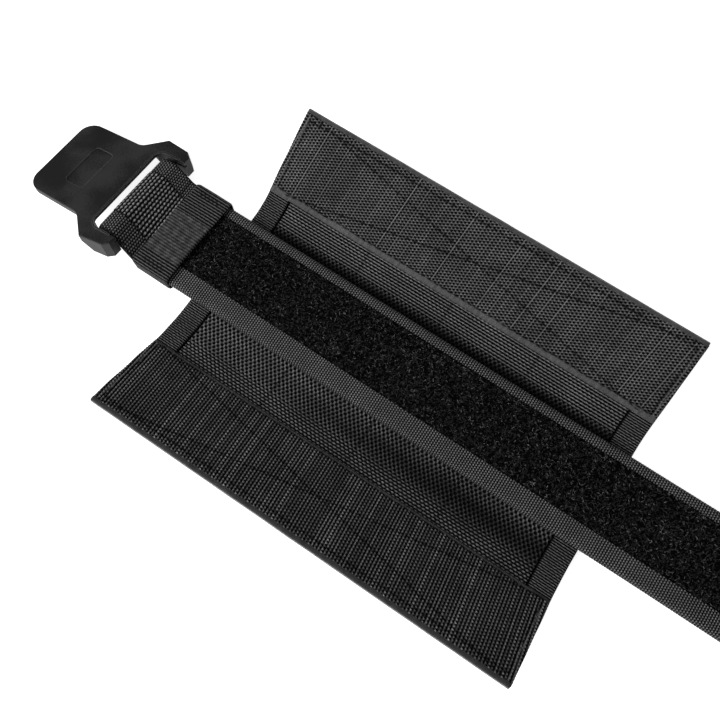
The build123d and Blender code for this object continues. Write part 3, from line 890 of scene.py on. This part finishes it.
class LoopPath:
    """The webbing's way round the bar: along its top ply, round the eye and back below the strap."""

    arc_points, line_points = 25, 800
    corner = 1.2 * MM  # the length over which the webbing rounds a corner

    def __init__(self, look):
        tilt = next(joint for joint in frame["joints"] if joint["name"] == "pull_tab_tilt")
        bar, axis = Vector(tilt["pos_m"]), Vector(tilt["axis"])
        level = [face for face in frame["nodes"]["pull_tab"].data.polygons if face.normal.z > 0.95]
        upward = sum((face.normal * face.area for face in level), Vector()).normalized()
        onward = axis.cross(upward).normalized()
        self.ply = STRAP_LOW.z - LOOP_LOW.z
        self.half = STRAP_HALF
        outward = (STRAP_THICK + self.ply) / 2
        middle = Vector((0, STRAP_Y, STRAP_LOW.z + STRAP_THICK / 2))
        eye, radius = bar - axis * look.eye_shift, look.eye_radius
        tail = eye + onward * look.eye_tail
        turns = np.linspace(0, math.pi, self.arc_points)
        arc = [eye + upward * radius * math.cos(t) - onward * radius * math.sin(t) for t in turns]
        top = [Vector((x, middle.y, middle.z + outward)) for x in (LOOP_HIGH.x, look.square_x)]
        bottom = [Vector((point.x, point.y, 2 * middle.z - point.z)) for point in reversed(top)]
        centre = top + [tail + upward * radius] + arc + [tail - upward * radius] + bottom
        crosswise = [Vector((0, 1, 0))] * 2 + [axis] * (len(arc) + 2) + [Vector((0, 1, 0))] * 2
        centre, crosswise = np.array(centre), np.array(crosswise)
        reached = np.concatenate([[0], np.cumsum(np.linalg.norm(np.diff(centre, axis=0), axis=1))])
        self.length = reached[-1]
        self.along = np.linspace(0, self.length, self.line_points)
        self.centre = self.smoothed(rows_at(self.along, reached, centre))
        self.crosswise = self.smoothed(rows_at(self.along, reached, crosswise))
        sideways = (self.centre - np.array(bar)) @ np.array(axis) - self.half
        near = np.linalg.norm(self.centre - np.array(bar), axis=1) < look.ear_reach
        self.pinch = np.where(near, np.clip(-look.ear_side - sideways, 0, None), 0)
        tangent = np.gradient(self.centre, axis=0)
        normal = np.cross(self.crosswise, tangent)
        self.normal = normal / np.linalg.norm(normal, axis=1, keepdims=True)
        self.top_end = reached[1]

    def smoothed(self, line):
        """A line with its corners rounded over a short length."""
        width = 2 * int(self.corner / (self.along[1] - self.along[0])) + 1
        padded = np.pad(line, ((width // 2, width // 2), (0, 0)), mode="edge")
        window = np.ones(width) / width
        return np.stack([np.convolve(padded[:, k], window, mode="valid") for k in range(3)], -1)

    def lay(self, along, across, height):
        """Along runs round the loop from the top ply's end, across is from its middle."""
        pinch = np.interp(along, self.along, self.pinch)
        pinched = across + pinch * (1 - across / self.half) / 2
        tables = (self.centre, self.crosswise, self.normal)
        centre, crosswise, normal = (rows_at(along, self.along, table) for table in tables)
        return centre + crosswise * pinched[..., None] + normal * height[..., None]


BOLD_WEAVE = Lattice(rib=0.6, pit=0.1, dot=0.5)
FINE_WEAVE = Lattice(rib=0.4, pit=0.2, dot=0.5)
FINE_RUN = 1.15  # length of the outer weave's pick, in rib pitches


def build_webbing_loop(look):
    """The webbing that holds the pull tab, with its bolder middle weave between two seams."""
    path = LoopPath(look)
    step, seam_width = 0.27 * MM, 0.3 * MM
    along = spaced(0, path.length, step)
    across = spaced(-path.half, path.half, step)
    u, v = grid(along, across)
    from_seam = look.seam_half - np.abs(v - look.seam_shift)
    middle = ease(from_seam / (0.4 * MM) + 0.5)
    bold = lattice(v, u, look.bold_run, look.bold_pitch, BOLD_WEAVE)
    fine = lattice(v, u, FINE_RUN * look.fine_pitch, look.fine_pitch, FINE_WEAVE)
    crowns = mix(0.93 * fine, bold, middle)
    seam = groove(from_seam, seam_width)
    cross_seam = groove(u - path.top_end - look.cross_seam, seam_width)
    crowns *= 1 - np.maximum(0.5 * seam, 0.3 * cross_seam)
    edge = ease((path.half - np.abs(v)) / (1.2 * MM))
    rounding, sinking = 0.35 * MM * (1 - edge), 0.12 * MM * (1 - middle)
    height = path.ply / 2 - look.crown_height * (1 - crowns) - rounding - sinking
    height = np.clip(height, 0.05 * MM, None)
    piece = relief_sheet(
        "tab_loop_webbing", path.lay, along, across, height, -path.ply / 2 + 0.1 * MM,
        crowns * (0.6 + 0.4 * edge), strap_webbing(), (4, 4),
    )
    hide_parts("buckle_loop_webbing")
    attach(piece, "strap_front")


KEEPER_WEAVE = Lattice(rib=0.85, pit=0.15, dot=0.15)


def build_keeper(look):
    """The elastic keeper: a rounded sleeve whose middle is doubled and tacked."""
    patch_low, patch_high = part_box("keeper_join_patch")
    patch_middle = (patch_low.y + patch_high.y - KEEPER_LOW.y - KEEPER_HIGH.y) / 2
    half_y, half_z = (KEEPER_HIGH.y - KEEPER_LOW.y) / 2, (KEEPER_HIGH.z - KEEPER_LOW.z) / 2
    centre_y, centre_z = (KEEPER_HIGH.y + KEEPER_LOW.y) / 2, (KEEPER_HIGH.z + KEEPER_LOW.z) / 2
    radius = look.keeper_corner
    flat_y, flat_z = half_y - radius, half_z - radius
    quarter = math.pi * radius / 2
    whole = 4 * (flat_y + flat_z + quarter)
    half_round = [flat_y, quarter, 2 * flat_z, quarter, flat_y]
    stops = np.cumsum([0] + half_round[:4] + [2 * flat_y] + half_round[1:])
    turns = np.array([0, 0, 1, 1, 2, 2, 3, 3, 4, 4]) * math.pi / 2

    def sleeve(along, across, height):
        """Across is the distance round the sleeve from its top's middle, first to the far side."""
        place = np.mod(across + whole, whole)
        turn = np.interp(place, stops, turns)
        out = radius + height
        y, z = out * np.sin(turn), out * np.cos(turn)
        on_top = (place <= stops[1]) | (place >= stops[8])
        top_y = np.where(place <= stops[1], place, place - whole)
        y = np.where(on_top, top_y, y)
        below = (place > stops[4]) & (place < stops[5])
        y = np.where(below, flat_y - (place - stops[4]), y)
        y = np.where((place > stops[1]) & (place <= stops[4]), y + flat_y, y)
        y = np.where((place >= stops[5]) & (place < stops[8]), y - flat_y, y)
        right, left = (place > stops[2]) & (place < stops[3]), (place > stops[6]) & (place < stops[7])
        z = np.where(right, flat_z - (place - stops[2]), z)
        z = np.where(left, place - stops[6] - flat_z, z)
        z = np.where((place <= stops[2]) | (place >= stops[7]), z + flat_z, z)
        z = np.where((place >= stops[3]) & (place <= stops[6]), z - flat_z, z)
        x = along + look.keeper_skew * (y + look.keeper_square)
        return np.stack([x, centre_y + y, centre_z + z], axis=-1)

    gap = 0.2 * MM  # the sleeve's seam, in the middle of its underside
    along = spaced(KEEPER_LOW.x, KEEPER_HIGH.x, 0.25 * MM)
    across = spaced(-whole / 2 + gap, whole / 2 - gap, look.keeper_rib / 4)
    u, v = grid(along, across)
    fade = 0.6 * MM
    inside = ease((look.keeper_middle - np.abs(v - patch_middle)) / fade + 0.5)
    ends = np.minimum(u - KEEPER_LOW.x, KEEPER_HIGH.x - u)
    inside = inside * ease((ends - look.keeper_patch_margin) / fade)
    waving = v + 0.12 * MM * drift(u, v, 3 * MM, 27)
    ribs = lattice(u, waving, 2.4 * MM, look.keeper_rib, KEEPER_WEAVE)
    mottle = 0.5 + 0.7 * drift(u, v, 0.5 * MM, 29)
    crowns = mix(ribs, 0.45 + 0.3 * ribs + 0.25 * mottle, inside)
    tack = np.zeros_like(u)
    for place in (look.keeper_tack, -look.keeper_tack):
        wave = place + 0.8 * MM * np.sin(2 * math.pi * u / (1.9 * MM))
        tack = np.maximum(tack, groove(v - wave, 0.45 * MM) * ease((ends - 3.0 * MM) / MM))
    crowns = crowns * (1 - 0.3 * tack)
    raised = (patch_high.z - KEEPER_HIGH.z) * inside
    edge = ease(ends / (0.9 * MM))
    height = raised - 0.3 * MM * (1 - crowns) - 0.25 * MM * (1 - edge) - 0.15 * MM * tack
    swell = 0.12 * MM * drift(u, v, 4 * MM, 31)
    piece = relief_sheet(
        "keeper_sleeve", sleeve, along, across, height + swell, -0.62 * MM, crowns, elastic(), (4, 3)
    )
    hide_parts("keeper_band", "keeper_join_patch")
    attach(piece, "keeper")


def build_pull_tab():
    """The moulded pull tab keeps its own solid and takes its moulded finish."""
    tab = frame["nodes"]["pull_tab"]
    tab.data.materials.clear()
    tab.data.materials.append(moulded_nylon())


# --- the wrap ------------------------------------------------------------------------------------------
class SideWeave(NamedTuple):
    """How one side's cloth lies between the strap and its hook tape, and where it takes painted shade."""

    ribs: Lattice
    turning: float  # the length over which the basket weave turns into ribs
    painted_shade_place: float  # from the strap's edge to the middle of the band of painted shade in the hollow
    painted_shade_width: float
    painted_shade_strength: float


BASKET = Lattice(rib=0.2, pit=1.1, dot=0.2)
HEM_WEAVE = Lattice(rib=0.9, pit=0.2, dot=0.15)
SIDE_WEAVES = {
    "far": SideWeave(
        ribs=Lattice(rib=0.95, pit=0.45, dot=0.42),
        turning=0.3 * MM,
        painted_shade_place=2 * MM,
        painted_shade_width=3 * MM,
        painted_shade_strength=0.5,
    ),
    "near": SideWeave(
        ribs=Lattice(rib=0.6, pit=0.15, dot=0.6),
        turning=4.0 * MM,
        painted_shade_place=8 * MM,
        painted_shade_width=6 * MM,
        painted_shade_strength=0.4,
    ),
}
CROWN_LEVEL = 0.8  # the part of a crown's height that lies under the solid's own surface
PAINTED_UNDER_SHADE = 0.25  # painted shade on the cloth that lies under the strap or the hook tape


def wrap_weave(look, side, u, v):
    """The height and relief of the wrap's inner cloth: pitted by the strap, ribbed by the hook tape, with
    painted shade in the hollow beside the strap.
    """
    lie = SIDE_WEAVES[side.name]
    rib_start = side.hook_start - getattr(look, f"rib_count_{side.name}") * look.rib_pitch
    sag = v + 0.3 * MM * drift(u, v * 0, 16 * MM, 2)
    row = (sag - rib_start) / np.where(sag > rib_start, look.rib_pitch, look.basket_pitch) - 0.5
    ribbed = ease((sag - rib_start) / lie.turning + 0.5)
    sway = u + 0.2 * MM * drift(u, v, 6 * MM, 4)
    cloth = lattice(sway, row, look.rib_pick, 1.0, BASKET.towards(lie.ribs, ribbed))
    height = mix(look.basket_height, look.rib_height, ribbed) * (cloth - CROWN_LEVEL)
    # painted shade in the hollow beside the strap: only the colour darkens, the height stays
    hollow = groove(v - side.strap_edge - lie.painted_shade_place, lie.painted_shade_width)
    if side.name == "near":
        hollow = hollow * ease(0.6 + u / (130 * MM))  # on this side the painted shade grows darker towards the tail
    relief = cloth * (0.95 + 0.05 * drift(u, v, 5 * MM, 6)) * (1 - lie.painted_shade_strength * hollow)
    scallop = 0.22 * MM * np.cos(2 * math.pi * u / look.tack_pitch) * (1 - ribbed)
    tack_line = groove(u - look.tack_pitch * np.round(u / look.tack_pitch), 0.35 * MM)
    height = height + scallop - 0.12 * MM * tack_line + 0.12 * MM * drift(u, v, 7 * MM, 3)
    relief = relief * (1 - 0.22 * tack_line)
    from_end = WRAP_HALF - np.abs(u)
    in_hem = ease((look.hem_length - from_end) / (0.3 * MM) + 0.5)
    hem = lattice(u, v, 2.4 * MM, look.hem_pitch, HEM_WEAVE)
    # a real groove along the hem's fold, whose colour is also darkened there as painted shade
    fold_groove_and_shade = groove(from_end - look.hem_length, 0.3 * MM)
    height = mix(height, look.hem_height + 0.3 * MM * (hem - 1), in_hem) - 0.5 * MM * fold_groove_and_shade
    relief = mix(relief, 0.88 * hem, in_hem) * (1 - 0.9 * fold_groove_and_shade)
    end = ease(from_end / (0.8 * MM))
    height = height - 0.3 * MM * (1 - end)
    past_strap = ease((v - side.strap_edge + 1.2 * MM) / (1.5 * MM))
    past_hooks = ease((v - side.hook_start - 0.8 * MM) / (0.5 * MM))
    shown = past_strap * (1 - past_hooks)
    # under the strap and the hook tape the colour falls to painted shade
    return height * shown, PAINTED_UNDER_SHADE + (relief - PAINTED_UNDER_SHADE) * shown


def joined(*runs):
    """Several rows of places end to end, without the doubled ones."""
    return np.unique(np.round(np.concatenate(runs), 9))


def build_wrap_cloth(look):
    """The wrap's cloth: an inner layer and an outer shell on each side, bent over both folds."""
    shell = WRAP_HIGH.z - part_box("wrap_centre_ply")[0].z
    lining = 0.5 * shell
    along = spaced(-WRAP_HALF, WRAP_HALF, 0.42 * MM)
    fine, plain = 0.24 * MM, 2.0 * MM
    for side in FLAPS.values():
        strap_edge = side.strap_edge - 1.5 * MM
        valley = joined(spaced(side.seam, strap_edge, plain), spaced(strap_edge, side.wall_middle, fine))
        hook_edge = side.hook_start + 1.2 * MM
        flap = joined(spaced(side.wall_middle, hook_edge, fine), spaced(hook_edge, side.hook_end, plain))
        for number, part, across in ((1, "valley", valley), (2, "flap", flap)):
            u, v = grid(along, across)
            height, relief = wrap_weave(look, side, u, v)
            inner = relief_sheet(
                f"{side.name}_{part}_cloth", side.lay, along, across, height, -lining, relief,
                wrap_cloth(), (10, 4),
            )
            outside = spaced(across[0], across[-1], look.basket_pitch / 3)
            u, v = grid(along, outside)
            crowns = woven(u, v, look.basket_pitch, look.basket_pitch * 0.9)
            outer = relief_sheet(
                f"{side.name}_{part}_shell", side.lay, along, outside,
                -shell + 0.3 * MM * (1 - crowns), -lining - 0.02 * MM, crowns, wrap_cloth(), (10, 4),
            )
            walls = [f"{side.name}_wall_{kind}" for kind in ("lining", "ply")]
            centre = [f"wrap_centre_{kind}" for kind in ("lining", "stiffener", "ply")]
            flaps = [f"{side.name}_flap_{kind}" for kind in ("lining", "stiffener", "ply")]
            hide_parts(*(centre + walls if number == 1 else flaps))
            for piece in (inner, outer):
                side.blend(piece, number)


def build_webbing_rows(look):
    """The two rows of webbing under each side of the wrap, and the tacks across them."""
    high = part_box("wrap_centre_ply")[0].z - WRAP_HIGH.z
    low = ROW_LOW.z - WRAP_HIGH.z
    along = spaced(-WRAP_HALF, WRAP_HALF, 0.45 * MM)
    inner_edge = min(abs(vertex.co.y) for vertex in frame["nodes"]["wrap_centre_webbing_rows"].data.vertices)
    tacks = [look.tack_pitch * number for number in (-2, -1, 0, 1, 2)]
    for side in FLAPS.values():
        rows = {}
        spans = ((1, "inner", inner_edge, side.wall_middle), (2, "outer", side.wall_middle, side.row_end))
        for number, part, start, end in spans:
            across = spaced(start, end, 0.3 * MM)
            u, v = grid(along, across)
            crowns = woven(u, v, 2.2 * MM, 1.1 * MM, waist=0.5)
            height = low + 0.28 * MM * (1 - crowns)
            rows[part] = relief_sheet(
                f"{side.name}_{part}_row", side.lay, along, across, height, high - 0.05 * MM, crowns,
                strap_webbing(), (10, 6),
            )
            side.blend(rows[part], number)
        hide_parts("wrap_centre_webbing_rows", "wrap_centre_row_tacks")
        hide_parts(f"{side.name}_wall_webbing_row")
        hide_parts(f"{side.name}_flap_webbing_row")
        fold_start = side.first - side.spread / 2
        stitches = np.arange(inner_edge + 1.2 * MM, fold_start - 0.4 * MM, 0.45 * MM)
        zigzag = 0.8 * MM * (np.arange(stitches.size) % 2 - 0.5)
        sunk = low + 0.17 * MM  # just inside the webbing, so that no thread reaches the floor
        lines = np.stack(
            [np.stack([place + zigzag, stitches, np.full(stitches.size, sunk)], -1) for place in tacks]
        )
        name = f"{side.name}_row_tacks"
        thread = thread_piece(name, side.lay, lines, look.thread_radius, 5, sewing_thread())
        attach(thread, "wrap_centre")


# --- the hook flaps ------------------------------------------------------------------------------------
class ByColumn(NamedTuple):
    """A measure of the hooks: in a plain column, what a leading column adds, and its unevenness."""

    plain: float
    leading: float = 0.0
    uneven: float = 0.0

    def over(self, leading, uneven):
        """The measure in each column."""
        return self.plain + self.leading * leading + self.uneven * uneven


class FlapWeave(NamedTuple):
    """How one flap's hooks stand in their columns, and the shades of its bare strips."""

    rib: ByColumn
    pit: ByColumn
    dot: ByColumn
    bright: ByColumn
    selvedge_shade: float
    rim_shade: float
    rim_cut_and_highlight: float  # where the cut line runs, with its painted highlight, as a share of the half turn over the rim


FLAP_WEAVES = {
    "far": FlapWeave(
        rib=ByColumn(0.25, 0.2, 0.1),
        pit=ByColumn(0.8, -0.3),
        dot=ByColumn(0.35, -0.3),
        bright=ByColumn(0.93, 0.03, 0.04),
        selvedge_shade=0.72,
        rim_shade=0.64,
        rim_cut_and_highlight=0.25,
    ),
    "near": FlapWeave(
        rib=ByColumn(0.45, 0.0, 0.12),
        pit=ByColumn(0.25, 0.4),
        dot=ByColumn(0.3, 0.45),
        bright=ByColumn(0.89, 0.08, 0.06),
        selvedge_shade=0.64,
        rim_shade=0.56,
        rim_cut_and_highlight=0.5,
    ),
}
MOST_COLUMNS = 400
HOOK_TAPE_THICK = 1.6 * MM


def hook_weave(look, side, u, v):
    """The hooks of a flap, in columns of which each fourth one leads, and how bright they are."""
    weave, near = FLAP_WEAVES[side.name], side.seed
    lean = look.column_lean * (v - (side.hook_start + side.hook_end) / 2)
    shift = (u - lean + 0.4 * MM * drift(u, v, 11 * MM, 61 + near)) / look.column_pitch
    place = v + 0.2 * MM * drift(u, v, 5 * MM, 65 + near)
    column = np.round(shift).astype(int)
    chance = np.random.default_rng(71 + near)
    middle = MOST_COLUMNS // 2
    uneven = chance.uniform(-1, 1, MOST_COLUMNS)[np.clip(column + middle, 0, MOST_COLUMNS - 1)]
    leading = (np.mod(column, 4) == 0) * (0.6 + 0.4 * uneven)
    rib, pit, dot, bright = (measure.over(leading, uneven) for measure in weave[:4])
    hooks = lattice(place, shift, look.hook_pitch, 1.0, Lattice(rib, pit, dot))
    patch = 0.97 + 0.06 * drift(u, v, 5 * MM, 81 + near) + 0.05 * drift(u, v, 1.3 * MM, 83 + near)
    return hooks, np.clip(hooks * bright * patch, 0, 1)


def hook_face(look, side, u, v):
    """The height and the relief of a flap's hook tape, its stitches and its bare selvedges."""
    near = side.seed
    hooks, light = hook_weave(look, side, u, v)
    from_inner, from_outer = v - side.hook_start, side.hook_end - v
    half = WRAP_HALF - look.end_margin
    from_end = half - np.abs(u)
    width = getattr(look, f"selvedge_{side.name}")
    wander = 0.5 * MM * drift(u, v * 0, 2 * MM, 85 + near)
    from_bare = np.minimum(from_inner - width, from_outer - look.selvedge_outer) + wander
    bare = 1 - ease(from_bare / (0.4 * MM) + 0.5)
    height, relief = hooks * (1 - bare), light * (1 - bare)
    border = np.minimum(np.minimum(from_inner - width + look.stitch_inset, from_outer), from_end)
    wave = 0.3 * MM * drift(u, v, 1.6 * MM, 87 + near)
    seam = groove(border - look.stitch_inset + wave, 0.32 * MM)
    tape_width = side.hook_end - side.hook_start
    for turn in (1, -1):
        crossing = (u * turn / half + 1) / 2 - (v - side.hook_start) / tape_width
        seam = np.maximum(seam, groove(crossing * tape_width + wave, 0.3 * MM))
    run_of = np.where(from_end < look.stitch_inset + 0.6 * MM, v, u)
    stitches = 0.4 * np.cos(2 * math.pi * run_of / look.stitch_pitch)
    dips = 0.6 + stitches + 0.25 * drift(u, v, 4 * MM, 89)
    seam = seam * np.clip(dips, 0, 1) * (1 - bare * (from_inner < 0.5 * width))
    beside = groove(from_end - look.stitch_inset + 0.9 * MM + wave, 0.35 * MM) * (1 - bare)
    return height, np.maximum(relief, 0.85 * beside), seam, bare


def build_hook_tapes(look):
    """The hook tape on each flap, quilted by its stitching, with its bare selvedges."""
    half = WRAP_HALF - look.end_margin
    along = spaced(-half, half, look.column_pitch / 5)
    for side in FLAPS.values():
        across = spaced(side.hook_start, side.hook_end, look.hook_pitch / 5)
        u, v = grid(along, across)
        hooks, relief, seam, bare = hook_face(look, side, u, v)
        quilt = 0.12 * MM * drift(u, v, 6 * MM, 91) - 0.1 * MM
        height = HOOK_TAPE_THICK - look.hook_height * (1 - hooks) + quilt - 0.15 * MM * seam
        border = np.minimum(np.minimum(v - side.hook_start, side.hook_end - v), half - np.abs(u))
        rounding = 0.35 * MM * (1 - ease(border / (0.5 * MM)))
        height = np.clip(height - rounding, 0.4 * MM, HOOK_TAPE_THICK)
        plain = FLAP_WEAVES[side.name].selvedge_shade + 0.08 * drift(u, v, 0.3 * MM, 93)
        shade = (relief + bare * plain) * (1 - 0.6 * seam)
        tape = relief_sheet(
            f"{side.name}_hook_face", side.lay, along, across, height, 0.05 * MM, shade, hook_tape(), (16, 8)
        )
        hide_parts(f"{side.name}_flap_hook_tape")
        side.blend(tape, 2)


class RimSection:
    """The C-shaped section of a flap's rim: out over the hook face, round the cut edge and back."""

    lip = 0.4 * MM
    square = 0.6  # under 1 squares the round off, as pressing does

    def __init__(self, side, top, bottom):
        self.side, self.width = side, side.outer - side.hook_end
        self.middle, self.radius = (top + bottom) / 2, (top - bottom) / 2
        self.length = 2 * self.lip + math.pi * self.radius

    def turn(self, across):
        """The angle turned through at a distance round the section."""
        return np.clip((across - self.lip) / self.radius, 0, math.pi)

    def lay(self, along, across, height):
        """Across runs over the rim, from the hook face to the shell."""
        turn = self.turn(across)
        inward = np.maximum(self.lip - across, 0) + np.maximum(across - self.length + self.lip, 0)
        squared = np.sign(np.cos(turn)) * np.abs(np.cos(turn)) ** self.square
        out = self.side.hook_end - inward + (self.width + height) * np.sin(turn) ** self.square
        return self.side.lay(along, out, self.middle + (self.radius + height) * squared)


def build_flap_rims():
    """The heat-cut rim along each flap's outer edge, where the layers are pressed thin, with a painted
    highlight along its cut line.
    """
    shell = WRAP_HIGH.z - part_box("wrap_centre_ply")[0].z
    end = WRAP_HALF - 0.4 * MM
    along = spaced(-end, end, 0.5 * MM)
    for side in FLAPS.values():
        weave = FLAP_WEAVES[side.name]
        section = RimSection(side, 1.3 * MM, 0.5 * MM - shell)
        across = spaced(0, section.length, 0.15 * MM)
        u, v = grid(along, across)
        # the cut line is a real low bead, and its light colour is a painted highlight along the rim's edge
        cut = groove(section.turn(v) - weave.rim_cut_and_highlight * math.pi, 0.1 * math.pi)
        height = 0.05 * MM * drift(u, v, 2 * MM, 101) - 0.08 * MM + 0.05 * MM * cut
        plain = weave.rim_shade + 0.06 * drift(u, v, 0.6 * MM, 103)
        rim = relief_sheet(
            f"{side.name}_flap_rim", section.lay, along, across, height, -0.4 * MM, np.maximum(plain, cut),
            selvedge(), (12, 4),
        )
        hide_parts(f"{side.name}_flap_edge")
        side.blend(rim, 2)


# --- the stage -----------------------------------------------------------------------------------------
WHITE = (1.0, 1.0, 1.0, 1.0)


def area_light(name, place, aim, size, power):
    """A square area light that faces a point."""
    data = bpy.data.lights.new(name, "AREA")
    data.shape = "SQUARE"
    data.size = size
    data.energy = power
    lamp = bpy.data.objects.new(name, data)
    lamp.location = place
    lamp.rotation_euler = (Vector(aim) - Vector(place)).to_track_quat("-Z", "Y").to_euler()
    bpy.context.scene.collection.objects.link(lamp)


def build_stage(look):
    """A pale matte floor, which glows like a light table, soft lights and the camera."""
    scene = bpy.context.scene
    half = look.floor_size / 2
    mesh = bpy.data.meshes.new("paper_floor")
    level = ROW_LOW.z - 0.05 * MM
    corners = [(-half, -half, level), (half, -half, level), (half, half, level), (-half, half, level)]
    mesh.from_pydata(corners, [], [(0, 1, 2, 3)])
    material, shader = new_material("paper_matte_uncoated", roughness=0.95, specular=0.1)
    shader.inputs["Base Color"].default_value = look.floor_colour
    shader.inputs["Emission Color"].default_value = WHITE
    shader.inputs["Emission Strength"].default_value = look.table_glow
    mesh.materials.append(material)
    floor = bpy.data.objects.new("paper_floor", mesh)
    scene.collection.objects.link(floor)

    world = bpy.data.worlds.new("soft_sky")
    world.use_nodes = True
    background = world.node_tree.nodes["Background"]
    background.inputs["Color"].default_value = WHITE
    background.inputs["Strength"].default_value = look.sky
    scene.world = world
    middle = ((CAD_BOX[0][0] + CAD_BOX[1][0]) / 2, 0.0, 0.0)
    area_light("key_light", look.key_place, middle, look.key_size, look.key_power)
    area_light("fill_light", look.fill_place, middle, look.fill_size, look.fill_power)

    turn, tilt, roll = look.azimuth, look.elevation, look.roll
    back = Vector((math.sin(turn) * math.cos(tilt), -math.cos(turn) * math.cos(tilt), math.sin(tilt)))
    right = Vector((math.cos(turn), math.sin(turn), 0))
    up = back.cross(right)
    rolled_right = right * math.cos(roll) + up * math.sin(roll)
    rolled_up = up * math.cos(roll) - right * math.sin(roll)
    data = bpy.data.cameras.new("camera")
    data.lens = look.lens
    data.sensor_width = 36.0
    data.clip_start = 0.01
    camera = bpy.data.objects.new("camera", data)
    facing = Matrix((rolled_right, rolled_up, back)).transposed().to_4x4()
    camera.matrix_world = Matrix.Translation(Vector(look.camera_place)) @ facing
    scene.collection.objects.link(camera)
    scene.camera = camera
    scene.view_settings.view_transform = "Standard"


# --- operators, panel and registration -----------------------------------------------------------------
class STRAP_OT_stage(bpy.types.Operator):
    """Build the floor, the lights and the camera"""

    bl_idname = "strap.stage"
    bl_label = "Stage"

    def execute(self, context):
        build_stage(context.scene.stage_looks)
        return {"FINISHED"}


class STRAP_OT_webbing(bpy.types.Operator):
    """Build the strap's inner webbing"""

    bl_idname = "strap.webbing"
    bl_label = "Strap Webbing"

    def execute(self, context):
        build_strap_webbing()
        return {"FINISHED"}


class STRAP_OT_loop_face(bpy.types.Operator):
    """Build the strap's loop pile"""

    bl_idname = "strap.loop_face"
    bl_label = "Loop Pile"

    def execute(self, context):
        build_loop_face(context.scene.strap_looks)
        return {"FINISHED"}


class STRAP_OT_bindings(bpy.types.Operator):
    """Build the bindings along the strap's edges"""

    bl_idname = "strap.bindings"
    bl_label = "Bindings"

    def execute(self, context):
        build_bindings(context.scene.strap_looks)
        return {"FINISHED"}


class STRAP_OT_end(bpy.types.Operator):
    """Build the strap's bound end and its hook patch"""

    bl_idname = "strap.end"
    bl_label = "Strap End"

    def execute(self, context):
        build_strap_end(context.scene.strap_looks)
        return {"FINISHED"}


class STRAP_OT_webbing_loop(bpy.types.Operator):
    """Build the webbing loop that holds the pull tab"""

    bl_idname = "strap.webbing_loop"
    bl_label = "Webbing Loop"

    def execute(self, context):
        build_webbing_loop(context.scene.webbing_looks)
        return {"FINISHED"}


class STRAP_OT_keeper(bpy.types.Operator):
    """Build the elastic keeper"""

    bl_idname = "strap.keeper"
    bl_label = "Keeper"

    def execute(self, context):
        build_keeper(context.scene.webbing_looks)
        return {"FINISHED"}


class STRAP_OT_pull_tab(bpy.types.Operator):
    """Finish the moulded pull tab"""

    bl_idname = "strap.pull_tab"
    bl_label = "Pull Tab"

    def execute(self, context):
        build_pull_tab()
        return {"FINISHED"}


class STRAP_OT_wrap_cloth(bpy.types.Operator):
    """Build the wrap's cloth and its hems"""

    bl_idname = "strap.wrap_cloth"
    bl_label = "Wrap Cloth"

    def execute(self, context):
        build_wrap_cloth(context.scene.wrap_looks)
        return {"FINISHED"}


class STRAP_OT_webbing_rows(bpy.types.Operator):
    """Build the webbing rows under the wrap and their tacks"""

    bl_idname = "strap.webbing_rows"
    bl_label = "Webbing Rows"

    def execute(self, context):
        build_webbing_rows(context.scene.wrap_looks)
        return {"FINISHED"}


class STRAP_OT_hook_tapes(bpy.types.Operator):
    """Build the hook tape on both flaps"""

    bl_idname = "strap.hook_tapes"
    bl_label = "Hook Tapes"

    def execute(self, context):
        build_hook_tapes(context.scene.hook_looks)
        return {"FINISHED"}


class STRAP_OT_flap_rims(bpy.types.Operator):
    """Build the rims of both flaps"""

    bl_idname = "strap.flap_rims"
    bl_label = "Flap Rims"

    def execute(self, context):
        build_flap_rims()
        return {"FINISHED"}


OPERATORS = (
    STRAP_OT_stage,
    STRAP_OT_webbing,
    STRAP_OT_loop_face,
    STRAP_OT_bindings,
    STRAP_OT_end,
    STRAP_OT_webbing_loop,
    STRAP_OT_keeper,
    STRAP_OT_pull_tab,
    STRAP_OT_wrap_cloth,
    STRAP_OT_webbing_rows,
    STRAP_OT_hook_tapes,
    STRAP_OT_flap_rims,
)
LOOKS = {
    "strap_looks": StrapLooks,
    "wrap_looks": WrapLooks,
    "hook_looks": HookLooks,
    "webbing_looks": WebbingLooks,
    "pull_tab_looks": PullTabLooks,
    "stage_looks": StageLooks,
}


class STRAP_PT_pieces(bpy.types.Panel):
    """Lists the pieces of the compression strap"""

    bl_label = "Compression Strap"
    bl_idname = "STRAP_PT_pieces"
    bl_space_type = "VIEW_3D"
    bl_region_type = "UI"
    bl_category = "Strap"

    def draw(self, context):
        for operator in OPERATORS:
            self.layout.operator(operator.bl_idname)
        for name in LOOKS:
            looks = getattr(context.scene, name)
            box = self.layout.box()
            for key in looks.bl_rna.properties.keys():
                if key not in ("rna_type", "name"):
                    box.prop(looks, key)


def register():
    """Make the settings, the operators and the panel known to Blender."""
    for name, looks in LOOKS.items():
        bpy.utils.register_class(looks)
        setattr(bpy.types.Scene, name, PointerProperty(type=looks))
    for operator in OPERATORS:
        bpy.utils.register_class(operator)
    bpy.utils.register_class(STRAP_PT_pieces)


def unregister():
    """Take them away again."""
    bpy.utils.unregister_class(STRAP_PT_pieces)
    for operator in reversed(OPERATORS):
        bpy.utils.unregister_class(operator)
    for name, looks in LOOKS.items():
        delattr(bpy.types.Scene, name)
        bpy.utils.unregister_class(looks)


def main():
    """Build every piece."""
    register()
    for operator in OPERATORS:
        group, name = operator.bl_idname.split(".")
        getattr(getattr(bpy.ops, group), name)()


if __name__ == "__main__":
    main()
